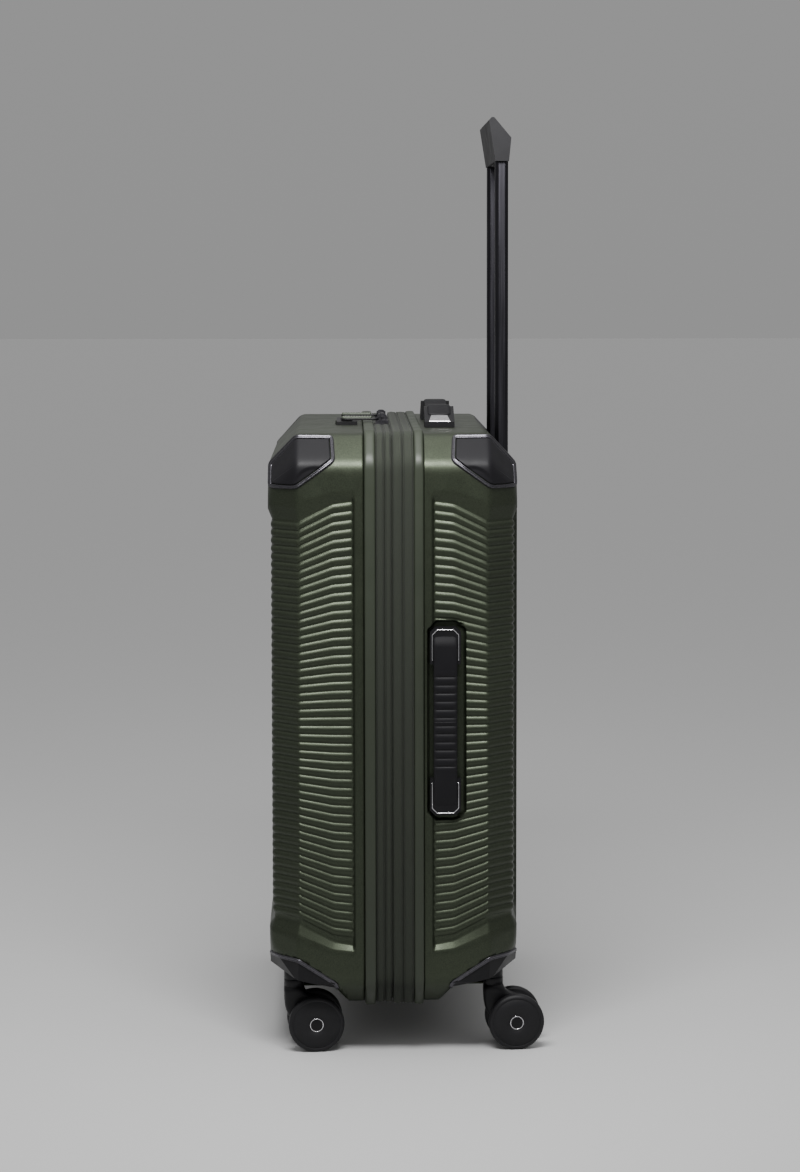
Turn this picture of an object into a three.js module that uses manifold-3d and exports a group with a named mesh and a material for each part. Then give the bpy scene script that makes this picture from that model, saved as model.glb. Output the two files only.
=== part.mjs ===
// Hard shell suitcase on four twin-wheel casters, in millimetres, +Z up, front facing -Y.
// Everything is laid out about the middle of the case (X = 0, Y = 0 between the two shells,
// Z = 0 on the floor). The whole group is then moved so that the origin lies under the middle
// of the bounding box.
import * as THREE from 'three';
import { mergeVertices } from 'three/addons/utils/BufferGeometryUtils.js';
import Module from 'manifold-3d';

const wasm = await Module();
wasm.setup();

// ---- driving dimensions ----
const GAP = 0.3;                 // air between pieces that touch on the real object
const CASE_HALF_WIDTH = 225;     // shells, along X
const CASE_TOP = 643;            // top of the shells
const CASE_BOTTOM = 50;          // underside of the shells
const CASE_HALF_DEPTH = 128.5;   // outer faces of the shells, along Y
const CREASE = 98.5;             // |Y| where the bevel towards the outer face starts
const BEVEL_SIDE = 29;           // what the bevel takes off each side by the outer face
const BEVEL_TOP = 41;            // the same at the top
const BEVEL_BOTTOM = 35;         // and at the bottom
const TOP_CHAMFER = 30;          // corner cut between top and sides
const BOTTOM_CHAMFER = 27;       // corner cut between bottom and sides
const SHELL_WALL = 2.5;
const LINING_WALL = 1.5;
const LINING_INSET = 3.1;        // outer surface of the lining, inside the shell's outer surface

// the layers of the closed case along Y
const FRONT_RIM = -30;
const FRONT_TRIM = [-29.7, -18.4];
const FRONT_TAPE = [-18.1, -9.3];
const ZIP_BAND = [-8.7, 9.3];
const BACK_TAPE = [9.9, 20.8];
const BACK_TRIM = [21.1, 30.8];
const BACK_RIM = 31.1;
const TRIM_PROUD = 3;
const TRIM_INSET = 4.5;
const TAPE_WALL = 3;
const GUSSET_INSET = [5.2, 6.4];
const GUSSET_Y = [-8.5, 30.5];

// casters
const STEM_X = 188;
const STEM_Y = 104;
const STEM_RADIUS = 4.5;
const STEM_TOP = 84;
const WHEEL_RADIUS = 29;
const WHEEL_WIDTH = 10.7;
const WHEEL_OFFSET = 16.25;      // middle of each wheel from the middle of the fork
const WHEEL_FACETS = 24;
const TRAIL = 22.5;
const CASTER_TURN = THREE.MathUtils.degToRad(4);
const REVERSED_CASTER = 'back_left';   // this caster trails forwards, the other three backwards
const AXLE_Z = WHEEL_RADIUS * Math.cos(Math.PI / WHEEL_FACETS);
const AXLE_RADIUS = 3;
const AXLE_LENGTH = 40;
const FORK_HALF_WIDTH = 10;
const HOUSING_UNDERSIDE = 70;
const HOUSING_INNER_X = 130;

// trolley
const TUBE_X = 82;
const TUBE_Y = 118;
const TUBE_SIZE = [20, 13.7];
const TUBE_WALL = 1.3;
const TUBE_BOTTOM = 480;
const GRIP_BOTTOM = 925;
const GRIP_TOP = 971;
const GRIP_HALF_LENGTH = 99;
const SLEEVE_BOTTOM = 101;
const BEZEL_BOTTOM = 595;
const BEZEL_FLOOR = 600;
const BEZEL_HALF_LENGTH = 106;
const PANEL_HALF_WIDTH = 115;    // raised panel of the back shell over the trolley
const PANEL_Y = 133;
const PANEL_Z = [92, 594];

// carry handles
const SIDE_HANDLE_Y = 52.9;
const SIDE_HANDLE_Z = 349;
const HANDLE_HALF_LENGTH = 97;
const HANDLE_MOUNT_LENGTH = 38;
const HANDLE_MOUNT_HALF_WIDTH = 15.8;
const STRAP_HALF_WIDTH = 12.2;
const SIDE_POCKET = { floor: 216, y: [34.5, 74.5], z: [246, 452] };
const TOP_HANDLE_Y = 51.7;

// lock and main zip
const LOCK = { halfLength: 46, y: [-58, -36], bottom: 632, top: 646.5 };
const DIAL_X = [-24, -12, 0];
const DIAL_RADIUS = 6.75;
const DIAL_WIDTH = 5;
const DIAL_Z = 643.35;
const LOCK_Y = -47;
const KEY_X = 13;
const BUTTON_X = 25;
const SLIDER_X = 38;

// ---- materials ----
const SHELL_GREEN = { color: 0x69705f, roughness: 0.42, metalness: 0.25 };
const TRIM_GREEN = { color: 0x747c69, roughness: 0.4, metalness: 0.2 };
const FABRIC_GREEN = { color: 0x5c6353, roughness: 0.85, metalness: 0 };
const LINING_GREY = { color: 0x4a4a4d, roughness: 0.9, metalness: 0 };
const BLACK_PLASTIC = { color: 0x252428, roughness: 0.45, metalness: 0 };
const BLACK_METAL = { color: 0x2f2e33, roughness: 0.35, metalness: 0.8 };
const GREY_RUBBER = { color: 0x2a292c, roughness: 0.7, metalness: 0 };
const STEEL = { color: 0xa9a9ad, roughness: 0.25, metalness: 1 };

// ---- geometry helpers ----
function outward(geometry) {
  const plain = geometry.index ? geometry.toNonIndexed() : geometry;
  const bare = new THREE.BufferGeometry();
  bare.setAttribute('position', plain.getAttribute('position').clone());
  const merged = mergeVertices(bare, 1e-4);
  const kept = [];
  const index = merged.index.array;
  for (let i = 0; i < index.length; i += 3) {
    const [a, b, c] = [index[i], index[i + 1], index[i + 2]];
    if (a !== b && b !== c && a !== c) kept.push([a, b, c]);
  }
  const corner = (i) => new THREE.Vector3().fromBufferAttribute(merged.getAttribute('position'), i);
  let volume = 0;
  for (const [a, b, c] of kept) volume += corner(a).dot(corner(b).cross(corner(c)));
  const ordered = volume < 0 ? kept.map(([a, b, c]) => [a, c, b]) : kept;
  merged.setIndex(ordered.flat());
  return merged;
}

function solid(geometry) {
  const closed = outward(geometry);
  return new wasm.Manifold(new wasm.Mesh({
    numProp: 3,
    vertProperties: new Float32Array(closed.getAttribute('position').array),
    triVerts: new Uint32Array(closed.index.array),
  }));
}

function surface(body) {
  const mesh = body.getMesh();
  const geometry = new THREE.BufferGeometry();
  geometry.setAttribute('position', new THREE.BufferAttribute(new Float32Array(mesh.vertProperties), 3));
  geometry.setIndex(Array.from(mesh.triVerts));
  return geometry;
}

function block([x0, x1], [y0, y1], [z0, z1]) {
  const geometry = new THREE.BoxGeometry(x1 - x0, y1 - y0, z1 - z0);
  geometry.translate((x0 + x1) / 2, (y0 + y1) / 2, (z0 + z1) / 2);
  return solid(geometry);
}

function shapeOf(points, hole) {
  const shape = new THREE.Shape(points.map(([u, v]) => new THREE.Vector2(u, v)));
  if (hole) shape.holes.push(new THREE.Path(hole.map(([u, v]) => new THREE.Vector2(u, v))));
  return shape;
}

// a prism along X of an outline in Y and Z, or along Y of one in X and Z, or along Z of one in X and Y
function prismX(points, x0, x1) {
  const geometry = new THREE.ExtrudeGeometry(shapeOf(points), { depth: x1 - x0, bevelEnabled: false });
  const axes = new THREE.Matrix4().makeBasis(
    new THREE.Vector3(0, 1, 0), new THREE.Vector3(0, 0, 1), new THREE.Vector3(1, 0, 0));
  geometry.applyMatrix4(axes);
  geometry.translate(x0, 0, 0);
  return solid(geometry);
}

function prismY(points, y0, y1, hole) {
  const geometry = new THREE.ExtrudeGeometry(shapeOf(points, hole), { depth: y1 - y0, bevelEnabled: false });
  geometry.rotateX(Math.PI / 2);
  geometry.translate(0, y1, 0);
  return solid(geometry);
}

function prismZ(points, z0, z1, hole) {
  const geometry = new THREE.ExtrudeGeometry(shapeOf(points, hole), { depth: z1 - z0, bevelEnabled: false });
  geometry.translate(0, 0, z0);
  return solid(geometry);
}

function rodX(radius, [x0, x1], y, z, facets = 24) {
  const geometry = new THREE.CylinderGeometry(radius, radius, x1 - x0, facets);
  geometry.rotateZ(Math.PI / 2);
  geometry.translate((x0 + x1) / 2, y, z);
  return solid(geometry);
}

function rodZ(radius, x, y, [z0, z1], facets = 24) {
  const geometry = new THREE.CylinderGeometry(radius, radius, z1 - z0, facets);
  geometry.rotateX(Math.PI / 2);
  geometry.translate(x, y, (z0 + z1) / 2);
  return solid(geometry);
}

// an eight-sided outline of the case in X and Z, counter-clockwise as seen from the front
function outline(side, top, bottom, topCut, bottomCut) {
  return [
    [side, bottom + bottomCut], [side, top - topCut], [side - topCut, top], [topCut - side, top],
    [-side, top - topCut], [-side, bottom + bottomCut], [bottomCut - side, bottom], [side - bottomCut, bottom],
  ];
}

// the outline at a distance from the middle of the case, grown outwards by some millimetres
function outlineAt(depth, grow) {
  const bevel = Math.max(0, depth - CREASE) / (CASE_HALF_DEPTH - CREASE);
  const cornerLoss = grow * (2 - Math.SQRT2);
  return outline(
    CASE_HALF_WIDTH - BEVEL_SIDE * bevel + grow,
    CASE_TOP - BEVEL_TOP * bevel + grow,
    CASE_BOTTOM + BEVEL_BOTTOM * bevel - grow,
    TOP_CHAMFER - cornerLoss,
    BOTTOM_CHAMFER - cornerLoss);
}

// a solid half case from its rim to its outer face; side is -1 for the front and 1 for the back
function halfCase(side, rim, end, grow) {
  const depths = [rim, CREASE, end];
  const rings = depths.map((depth) => outlineAt(depth, grow).map(([x, z]) => [x, side * depth, z]));
  if (side < 0) rings.reverse();
  const triangles = [];
  const count = rings[0].length;
  for (let i = 1; i < count - 1; i += 1) {
    triangles.push(rings[0][0], rings[0][i], rings[0][i + 1]);
    triangles.push(rings[2][0], rings[2][i + 1], rings[2][i]);
  }
  for (let level = 0; level < rings.length - 1; level += 1) {
    const [near, far] = [rings[level], rings[level + 1]];
    for (let i = 0; i < count; i += 1) {
      const next = (i + 1) % count;
      triangles.push(near[i], far[i], far[next]);
      triangles.push(near[i], far[next], near[next]);
    }
  }
  const geometry = new THREE.BufferGeometry();
  geometry.setAttribute('position', new THREE.Float32BufferAttribute(triangles.flat(), 3));
  return solid(geometry);
}

// a band around the case between two Y, from one growth in to another
function band([y0, y1], outer, inner) {
  return prismY(outlineAt(0, outer), y0, y1).subtract(prismY(outlineAt(0, inner), y0 - 1, y1 + 1));
}

const mirrored = (points, side) => points.map(([y, z]) => [side * y, z]);

// ---- shells, linings, trims ----
// outlines in |Y| and Z: what is cut from each lower corner, the housing that fills it, and the
// web that closes the step between the housing and the shell's bottom
const CUTOUT = [[42, 40], [42, 53.5], [57, 74.6], [99, 101.5], [150, 101.5], [150, 40]];
const HOUSING = [[42.5, 50.2], [45.5, 50.2], [57.5, 70], [150, 70], [150, 100.9], [99, 100.9], [57, 74.1], [42.5, 53.3]];
const HOUSING_WEB = [[45.5, 50.2], [150, 50.2], [150, 71], [57.5, 71]];
const HOUSING_WEB_WALL = 2.5;
const PROTECTOR = [[150, 588], [99, 589], [60, 616], [62, 670], [150, 670]];
const PROTECTOR_INNER_X = 193;

function cornerCutouts(side, margin) {
  const inner = HOUSING_INNER_X - margin;
  const grown = mirrored(CUTOUT.map(([y, z]) => [y - margin, z + margin]), side);
  return prismX(grown, inner, 300).add(prismX(grown, -300, -inner));
}

function lockCutout(margin) {
  const half = LOCK.halfLength + margin;
  return block([-half, half], [LOCK.y[0] - margin, LOCK.y[1] + margin], [LOCK.bottom - margin - 1, 700]);
}

function frontShell() {
  const tray = halfCase(-1, -FRONT_RIM, CASE_HALF_DEPTH, 0)
    .subtract(halfCase(-1, -FRONT_RIM - 2, CASE_HALF_DEPTH - SHELL_WALL, -SHELL_WALL));
  return tray.subtract(cornerCutouts(-1, 0)).subtract(lockCutout(GAP));
}

function frontLining() {
  const end = CASE_HALF_DEPTH - LINING_INSET;
  const tray = halfCase(-1, -FRONT_RIM, end, -LINING_INSET)
    .subtract(halfCase(-1, -FRONT_RIM - 2, end - LINING_WALL, -LINING_INSET - LINING_WALL));
  return tray.subtract(cornerCutouts(-1, 1)).subtract(lockCutout(1));
}

function trolleyNotch(margin) {
  const half = BEZEL_HALF_LENGTH + margin;
  return block([-half, half], [98 - margin, 200], [BEZEL_BOTTOM - margin, 700]);
}

function backShell() {
  const { floor, y, z } = SIDE_POCKET;
  const wall = SHELL_WALL;
  const panel = block([-PANEL_HALF_WIDTH, PANEL_HALF_WIDTH], [110, PANEL_Y], PANEL_Z);
  const outside = halfCase(1, BACK_RIM, CASE_HALF_DEPTH, 0).add(panel);
  const behindPanel = block(
    [wall - PANEL_HALF_WIDTH, PANEL_HALF_WIDTH - wall], [100, PANEL_Y - wall], [PANEL_Z[0] + wall, PANEL_Z[1] - wall]);
  const inside = halfCase(1, BACK_RIM - 2, CASE_HALF_DEPTH - wall, -wall).add(behindPanel);
  const pocketTub = block([floor - wall, CASE_HALF_WIDTH - 1], [y[0] - wall, y[1] + wall], [z[0] - wall, z[1] + wall]);
  const pocket = block([floor, 300], y, z);
  const tubeRoom = block([-100, 100], [100, 127.5], [PANEL_Z[1] - 10, BEZEL_BOTTOM]);
  return outside.subtract(inside).add(pocketTub).subtract(pocket)
    .subtract(cornerCutouts(1, 0)).subtract(trolleyNotch(GAP)).subtract(tubeRoom);
}

function backLining() {
  const end = 107.5;
  const { floor, y, z } = SIDE_POCKET;
  const clear = SHELL_WALL + 1;
  const tray = halfCase(1, BACK_RIM, end, -LINING_INSET)
    .subtract(halfCase(1, BACK_RIM - 2, end - LINING_WALL, -LINING_INSET - LINING_WALL));
  const tub = block([floor - clear, 300], [y[0] - clear, y[1] + clear], [z[0] - clear, z[1] + clear]);
  return tray.subtract(tub).subtract(cornerCutouts(1, 1)).subtract(trolleyNotch(1));
}

function cornerProtector(side, end) {
  const layer = halfCase(end, 40, CASE_HALF_DEPTH + 2.4, 2.4).subtract(halfCase(end, 39, CASE_HALF_DEPTH + 0.4, 0.4));
  const reach = side > 0 ? [PROTECTOR_INNER_X, 300] : [-300, -PROTECTOR_INNER_X];
  return layer.intersect(prismX(mirrored(PROTECTOR, end), ...reach));
}

function casterHousing(side, end) {
  const inner = HOUSING_INNER_X + 0.5;
  const web = inner + HOUSING_WEB_WALL;
  const bore = rodZ(STEM_RADIUS + 0.8, side * STEM_X, end * STEM_Y, [60, STEM_TOP + 2]);
  const body = prismX(mirrored(HOUSING, end), ...(side > 0 ? [inner, 300] : [-300, -inner]))
    .add(prismX(mirrored(HOUSING_WEB, end), ...(side > 0 ? [inner, web] : [-web, -inner])));
  return halfCase(end, 40, CASE_HALF_DEPTH, 0).intersect(body).subtract(bore);
}

// ---- casters ----
function fork() {
  const web = prismX(
    [[-12, 60], [-12, 69.5], [12, 69.5], [26, 63.5], [36, 48], [35, 22], [29, 16.5], [17, 16.5], [11, 22], [9, 50]],
    -FORK_HALF_WIDTH, FORK_HALF_WIDTH);
  const cap = rodZ(12, 0, 0, [60, HOUSING_UNDERSIDE - 0.5]);
  const stem = rodZ(STEM_RADIUS, 0, 0, [65, STEM_TOP]);
  const bore = rodX(AXLE_RADIUS + 0.5, [-30, 30], TRAIL, AXLE_Z);
  return web.add(cap).add(stem).subtract(bore);
}

function wheel(offset) {
  const half = WHEEL_WIDTH / 2;
  const profile = [
    [AXLE_RADIUS + 0.5, -half], [27, -half], [WHEEL_RADIUS, 2 - half], [WHEEL_RADIUS, half - 2], [27, half],
    [AXLE_RADIUS + 0.5, half], [AXLE_RADIUS + 0.5, -half],
  ];
  const geometry = new THREE.LatheGeometry(profile.map(([r, y]) => new THREE.Vector2(r, y)), WHEEL_FACETS);
  geometry.rotateY(Math.PI / WHEEL_FACETS);
  geometry.rotateZ(Math.PI / 2);
  geometry.translate(offset, TRAIL, AXLE_Z);
  return solid(geometry);
}

// ---- trolley ----
function tubeOutline(x, grow) {
  const [halfX, halfY] = [TUBE_SIZE[0] / 2 + grow, TUBE_SIZE[1] / 2 + grow];
  const cut = 3.5;
  return [
    [x + halfX, TUBE_Y + halfY - cut], [x + halfX - cut, TUBE_Y + halfY], [x - halfX + cut, TUBE_Y + halfY],
    [x - halfX, TUBE_Y + halfY - cut], [x - halfX, TUBE_Y - halfY + cut], [x - halfX + cut, TUBE_Y - halfY],
    [x + halfX - cut, TUBE_Y - halfY], [x + halfX, TUBE_Y - halfY + cut],
  ];
}

function tube(x, outer, wall, z0, z1) {
  return prismZ(tubeOutline(x, outer), z0, z1, tubeOutline(x, outer - wall).reverse());
}

function trolleyGrip() {
  const profile = [
    [103.9, 967.5], [106.7, GRIP_TOP], [109.5, GRIP_TOP], [127.6, 949.5], [125.2, GRIP_BOTTOM], [110.7, GRIP_BOTTOM],
  ];
  const pocket = block([-17.4, 17.4], [112.6, 122.4], [GRIP_BOTTOM - 1, GRIP_BOTTOM + 11]);
  return prismX(profile, -GRIP_HALF_LENGTH, GRIP_HALF_LENGTH).subtract(pocket);
}

function trolleyBezel() {
  const half = BEZEL_HALF_LENGTH;
  const profile = [[98, BEZEL_BOTTOM], [131, BEZEL_BOTTOM], [131, 603], [100.5, 642], [98, 642]];
  let bezel = prismX(profile, -half, half)
    .subtract(block([3 - half, half - 3], [100.5, 200], [BEZEL_FLOOR, 700]));
  for (const side of [-1, 1]) {
    bezel = bezel.subtract(prismZ(tubeOutline(side * TUBE_X, 0.4), BEZEL_BOTTOM - 1, BEZEL_FLOOR + 1));
  }
  return bezel;
}

// ---- carry handles ----
function sideMount(end) {
  const outer = SIDE_HANDLE_Z + end * HANDLE_HALF_LENGTH;
  const inner = outer - end * HANDLE_MOUNT_LENGTH;
  const cut = 5;
  const half = HANDLE_MOUNT_HALF_WIDTH;
  const y = SIDE_HANDLE_Y;
  const points = [
    [y - half, inner], [y + half, inner], [y + half, outer - end * cut], [y + half - cut, outer],
    [y - half + cut, outer], [y - half, outer - end * cut],
  ];
  return prismX(points, SIDE_POCKET.floor + GAP, 227.5);
}

function sideGrip() {
  const reach = HANDLE_HALF_LENGTH - HANDLE_MOUNT_LENGTH - 0.6;
  return block([225.5, 230.5], [SIDE_HANDLE_Y - STRAP_HALF_WIDTH, SIDE_HANDLE_Y + STRAP_HALF_WIDTH],
    [SIDE_HANDLE_Z - reach, SIDE_HANDLE_Z + reach]);
}

function topMount(side) {
  const outer = side * HANDLE_HALF_LENGTH;
  const inner = outer - side * HANDLE_MOUNT_LENGTH;
  const y = TOP_HANDLE_Y;
  const points = [[outer, CASE_TOP + GAP], [outer, 649], [inner + side * 6, 664], [inner, 664], [inner, CASE_TOP + GAP]];
  return prismY(points, y - HANDLE_MOUNT_HALF_WIDTH, y + HANDLE_MOUNT_HALF_WIDTH);
}

function topGrip() {
  const reach = HANDLE_HALF_LENGTH - HANDLE_MOUNT_LENGTH - 0.6;
  const points = [
    [reach, 657], [reach, 663], [reach - 20, 669], [20 - reach, 669], [-reach, 663], [-reach, 657],
    [20 - reach, 662], [reach - 20, 662],
  ];
  return prismY(points, TOP_HANDLE_Y - STRAP_HALF_WIDTH, TOP_HANDLE_Y + STRAP_HALF_WIDTH);
}

// ---- lock and zip sliders ----
function lockBody() {
  let body = block([-LOCK.halfLength, LOCK.halfLength], LOCK.y, [LOCK.bottom, LOCK.top]);
  for (const x of DIAL_X) {
    body = body.subtract(block([x - 3, x + 3], [LOCK_Y - 7.3, LOCK_Y + 7.3], [DIAL_Z - DIAL_RADIUS - 0.5, 700]));
  }
  const keyWell = rodZ(4.9, KEY_X, LOCK_Y, [LOCK.bottom + 4, 700]);
  const buttonWell = block([BUTTON_X - 4.4, BUTTON_X + 4.4], [LOCK_Y - 6.4, LOCK_Y + 6.4], [LOCK.bottom + 3, 700]);
  return body.subtract(keyWell).subtract(buttonWell);
}

const lockDial = (x) => rodX(DIAL_RADIUS, [x - DIAL_WIDTH / 2, x + DIAL_WIDTH / 2], LOCK_Y, DIAL_Z, 20);

function keyCylinder() {
  const slot = block([KEY_X - 0.5, KEY_X + 0.5], [LOCK_Y - 3, LOCK_Y + 3], [643, 700]);
  return rodZ(4.5, KEY_X, LOCK_Y, [LOCK.bottom + 5, LOCK.top + 0.5]).subtract(slot);
}

function lockButton() {
  return block([BUTTON_X - 4, BUTTON_X + 4], [LOCK_Y - 6, LOCK_Y + 6], [LOCK.bottom + 6.5, LOCK.top + 2]);
}

function zipSlider(x) {
  const body = block([x - 4.5, x + 4.5], [-16, -2], [CASE_TOP + 0.5, CASE_TOP + 5]);
  const bridge = prismX([[-14, 647.5], [-14, 653.5], [-11, 655.5], [-7, 655.5], [-4, 653.5], [-4, 647.5]], x - 1.4, x + 1.4);
  const eye = prismX([[-12, 648.5], [-12, 652], [-6, 652], [-6, 648.5]], x - 2, x + 2);
  return body.add(bridge).subtract(eye);
}

// the pull tab starts in the slider's eye, on the axis it turns about, and lies over the lock
function zipPuller(x) {
  const ring = block([x - 4.6, x + 4.6], [-20, -8.8], [649.2, 651.2])
    .subtract(block([x - 2.2, x + 2.2], [-16.5, -10.8], [640, 660]));
  const tab = block([x - 4.6, x + 4.6], [-53, -19], [648, 652.4]);
  return ring.add(tab);
}

// ---- assembly ----
const suitcase = new THREE.Group();

function place(parent, name, body, material) {
  const geometry = surface(body);
  geometry.computeVertexNormals();
  const mesh = new THREE.Mesh(geometry, new THREE.MeshStandardMaterial(material));
  mesh.name = name;
  parent.add(mesh);
}

function addCaster(name, x, y) {
  const caster = new THREE.Group();
  caster.position.set(x, y, 0);
  caster.rotation.z = CASTER_TURN + (name === REVERSED_CASTER ? Math.PI : 0);
  place(caster, `${name}_caster_fork`, fork(), BLACK_PLASTIC);
  place(caster, `${name}_caster_axle`, rodX(AXLE_RADIUS, [-AXLE_LENGTH / 2, AXLE_LENGTH / 2], TRAIL, AXLE_Z, 12), STEEL);
  place(caster, `${name}_wheel_left`, wheel(-WHEEL_OFFSET), GREY_RUBBER);
  place(caster, `${name}_wheel_right`, wheel(WHEEL_OFFSET), GREY_RUBBER);
  suitcase.add(caster);
}

place(suitcase, 'back_shell', backShell(), SHELL_GREEN);
place(suitcase, 'back_trim', band(BACK_TRIM, TRIM_PROUD, -TRIM_INSET), TRIM_GREEN);
place(suitcase, 'back_zip_tape', band(BACK_TAPE, 0, -TAPE_WALL), FABRIC_GREEN);
place(suitcase, 'back_lining', backLining(), LINING_GREY);
place(suitcase, 'expansion_gusset', band(GUSSET_Y, -GUSSET_INSET[0], -GUSSET_INSET[1]), FABRIC_GREEN);
place(suitcase, 'middle_zip_band', band(ZIP_BAND, 0, -TAPE_WALL), FABRIC_GREEN);
place(suitcase, 'front_zip_tape', band(FRONT_TAPE, 0, -TAPE_WALL), FABRIC_GREEN);
place(suitcase, 'front_trim', band(FRONT_TRIM, TRIM_PROUD, -TRIM_INSET), TRIM_GREEN);
place(suitcase, 'front_shell', frontShell(), SHELL_GREEN);
place(suitcase, 'front_lining', frontLining(), LINING_GREY);

for (const [endName, end] of [['front', -1], ['back', 1]]) {
  for (const [sideName, side] of [['left', -1], ['right', 1]]) {
    const corner = `${endName}_${sideName}`;
    place(suitcase, `${corner}_corner_protector`, cornerProtector(side, end), BLACK_PLASTIC);
    place(suitcase, `${corner}_caster_housing`, casterHousing(side, end), BLACK_PLASTIC);
    addCaster(corner, side * STEM_X, end * STEM_Y);
  }
}

for (const [sideName, side] of [['left', -1], ['right', 1]]) {
  const x = side * TUBE_X;
  place(suitcase, `trolley_outer_tube_${sideName}`, tube(x, 1.7, 1.3, SLEEVE_BOTTOM, BEZEL_BOTTOM - 0.5), BLACK_METAL);
  place(suitcase, `trolley_inner_tube_${sideName}`, tube(x, 0, TUBE_WALL, TUBE_BOTTOM, GRIP_BOTTOM - GAP), BLACK_METAL);
  place(suitcase, `top_handle_mount_${sideName}`, topMount(side), BLACK_PLASTIC);
}
place(suitcase, 'trolley_bezel', trolleyBezel(), BLACK_PLASTIC);
place(suitcase, 'trolley_foot', block([-100, 100], [108.5, 129.5], [95.5, SLEEVE_BOTTOM - GAP]), BLACK_PLASTIC);
place(suitcase, 'trolley_grip', trolleyGrip(), BLACK_PLASTIC);
place(suitcase, 'trolley_button', block([-17, 17], [113, 122], [GRIP_BOTTOM - 2, GRIP_BOTTOM + 6.5]), BLACK_PLASTIC);

place(suitcase, 'side_handle_mount_lower', sideMount(-1), BLACK_PLASTIC);
place(suitcase, 'side_handle_mount_upper', sideMount(1), BLACK_PLASTIC);
place(suitcase, 'side_handle_grip', sideGrip(), BLACK_PLASTIC);
place(suitcase, 'top_handle_grip', topGrip(), BLACK_PLASTIC);

place(suitcase, 'lock_body', lockBody(), BLACK_PLASTIC);
DIAL_X.forEach((x, i) => place(suitcase, `lock_dial_${i + 1}`, lockDial(x), STEEL));
place(suitcase, 'lock_key_cylinder', keyCylinder(), STEEL);
place(suitcase, 'lock_button', lockButton(), BLACK_PLASTIC);
for (const [sideName, side] of [['left', -1], ['right', 1]]) {
  place(suitcase, `zip_slider_${sideName}`, zipSlider(side * SLIDER_X), STEEL);
  place(suitcase, `zip_puller_${sideName}`, zipPuller(side * SLIDER_X), BLACK_PLASTIC);
}

// the origin goes under the middle of the bounding box
const bounds = new THREE.Box3().setFromObject(suitcase, true);
const middle = bounds.getCenter(new THREE.Vector3());
suitcase.position.set(-middle.x, -middle.y, -bounds.min.z);

export default suitcase;
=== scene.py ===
"""Visual model of a hard shell suitcase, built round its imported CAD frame.

Shapes are worked out in millimetres about the middle of the case (X and Y) and the floor (Z),
and moved into the frame's own coordinates, in metres, when a mesh is made.
"""
import math

import bmesh
import bpy
import numpy as np
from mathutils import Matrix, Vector


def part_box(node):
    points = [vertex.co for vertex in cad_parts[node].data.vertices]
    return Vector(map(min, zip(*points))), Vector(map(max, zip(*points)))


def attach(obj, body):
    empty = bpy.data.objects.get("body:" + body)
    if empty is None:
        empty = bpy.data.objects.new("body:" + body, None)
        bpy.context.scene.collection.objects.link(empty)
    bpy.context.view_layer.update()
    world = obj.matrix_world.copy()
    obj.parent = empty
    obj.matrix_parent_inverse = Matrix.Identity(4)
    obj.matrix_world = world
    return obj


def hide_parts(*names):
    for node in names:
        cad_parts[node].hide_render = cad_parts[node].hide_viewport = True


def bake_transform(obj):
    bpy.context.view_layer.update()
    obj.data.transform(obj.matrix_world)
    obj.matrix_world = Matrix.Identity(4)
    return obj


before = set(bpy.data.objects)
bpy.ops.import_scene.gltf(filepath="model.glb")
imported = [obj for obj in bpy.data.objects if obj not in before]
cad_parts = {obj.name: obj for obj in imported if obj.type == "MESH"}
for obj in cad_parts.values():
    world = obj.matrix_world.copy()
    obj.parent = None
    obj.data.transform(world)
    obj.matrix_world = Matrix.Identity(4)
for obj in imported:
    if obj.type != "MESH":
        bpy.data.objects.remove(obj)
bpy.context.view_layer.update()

MM = 0.001
SHELL_LOW, SHELL_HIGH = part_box("front_shell")
CASE_HALF_DEPTH = 128.5
ORIGIN = Vector(((SHELL_LOW.x + SHELL_HIGH.x) / 2, SHELL_LOW.y + CASE_HALF_DEPTH * MM, 0))

# ---- dimensions of the case, in millimetres ----
HALF_WIDTH = 225
TOP = 643
BOTTOM = 50
CREASE = 98.5
BEVEL_DEPTH = CASE_HALF_DEPTH - CREASE
BEVEL_SIDE = 29
BEVEL_TOP = 31
BEVEL_BOTTOM = 35
TOP_CHAMFER = 30
BOTTOM_CHAMFER = 27
ROUND = 9

RIB_COUNT = 49
RIB_MIDDLE = 349
RIB_SAMPLES = 10
RIB_HEIGHT = 1.9
FIELD_RECESS = 4.8
SEAM_END = 41.5
SOFT_CREASE = 62
# half height of the rib field, and the ledges under and over it, at the seam, soft crease and crease
FIELD_HALF = (221.3, 218.5, 200.2)
LOWER_LEDGE = ((109.7, 111.8, 127.2), (115.7, 119.7, 139.5))
UPPER_LEDGE_TOP = (583.4, 582.4, 570.0)

RIM = {-1: 30.0, 1: 31.1}
CURVE_POINTS = 3
FACE_END = 1.2
# |Y| of the mesh columns on the flat of the side, closer together where the relief changes
FLAT_DEPTHS = (
    32.5, 33.6, 34.2, 34.8, 35.6, 37, 38, 39, 40, 41, 41.8, 42.6, 44, 47.5, 52, 57, 60.5, 63.5, 67, 71,
    73.2, 73.9, 74.5, 75.2, 76.5, 80, 85, 90, 94.5,
)
# the same on the bevel, counted from its crease
BEVEL_STEPS = (3, 7, 11, 15, 19, 23, 25)
SHELL_WALL = 1.5
PANEL_HALF_WIDTH = 115
PANEL_LOW_END = (88, 94)
PANEL_HIGH_END = (590, 598)
PANEL_RAISE = 4.5
POCKET = {"y": 54.5, "z": 349, "half_y": 19.6, "half_z": 103, "cut": 9, "depth": 9}
CROWN = 1.9
CROWN_HALF_HEIGHT = 270

LINING_INSET = 7.8
LINING_WALL = 1.0
LINING_BACK = 107.5
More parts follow.
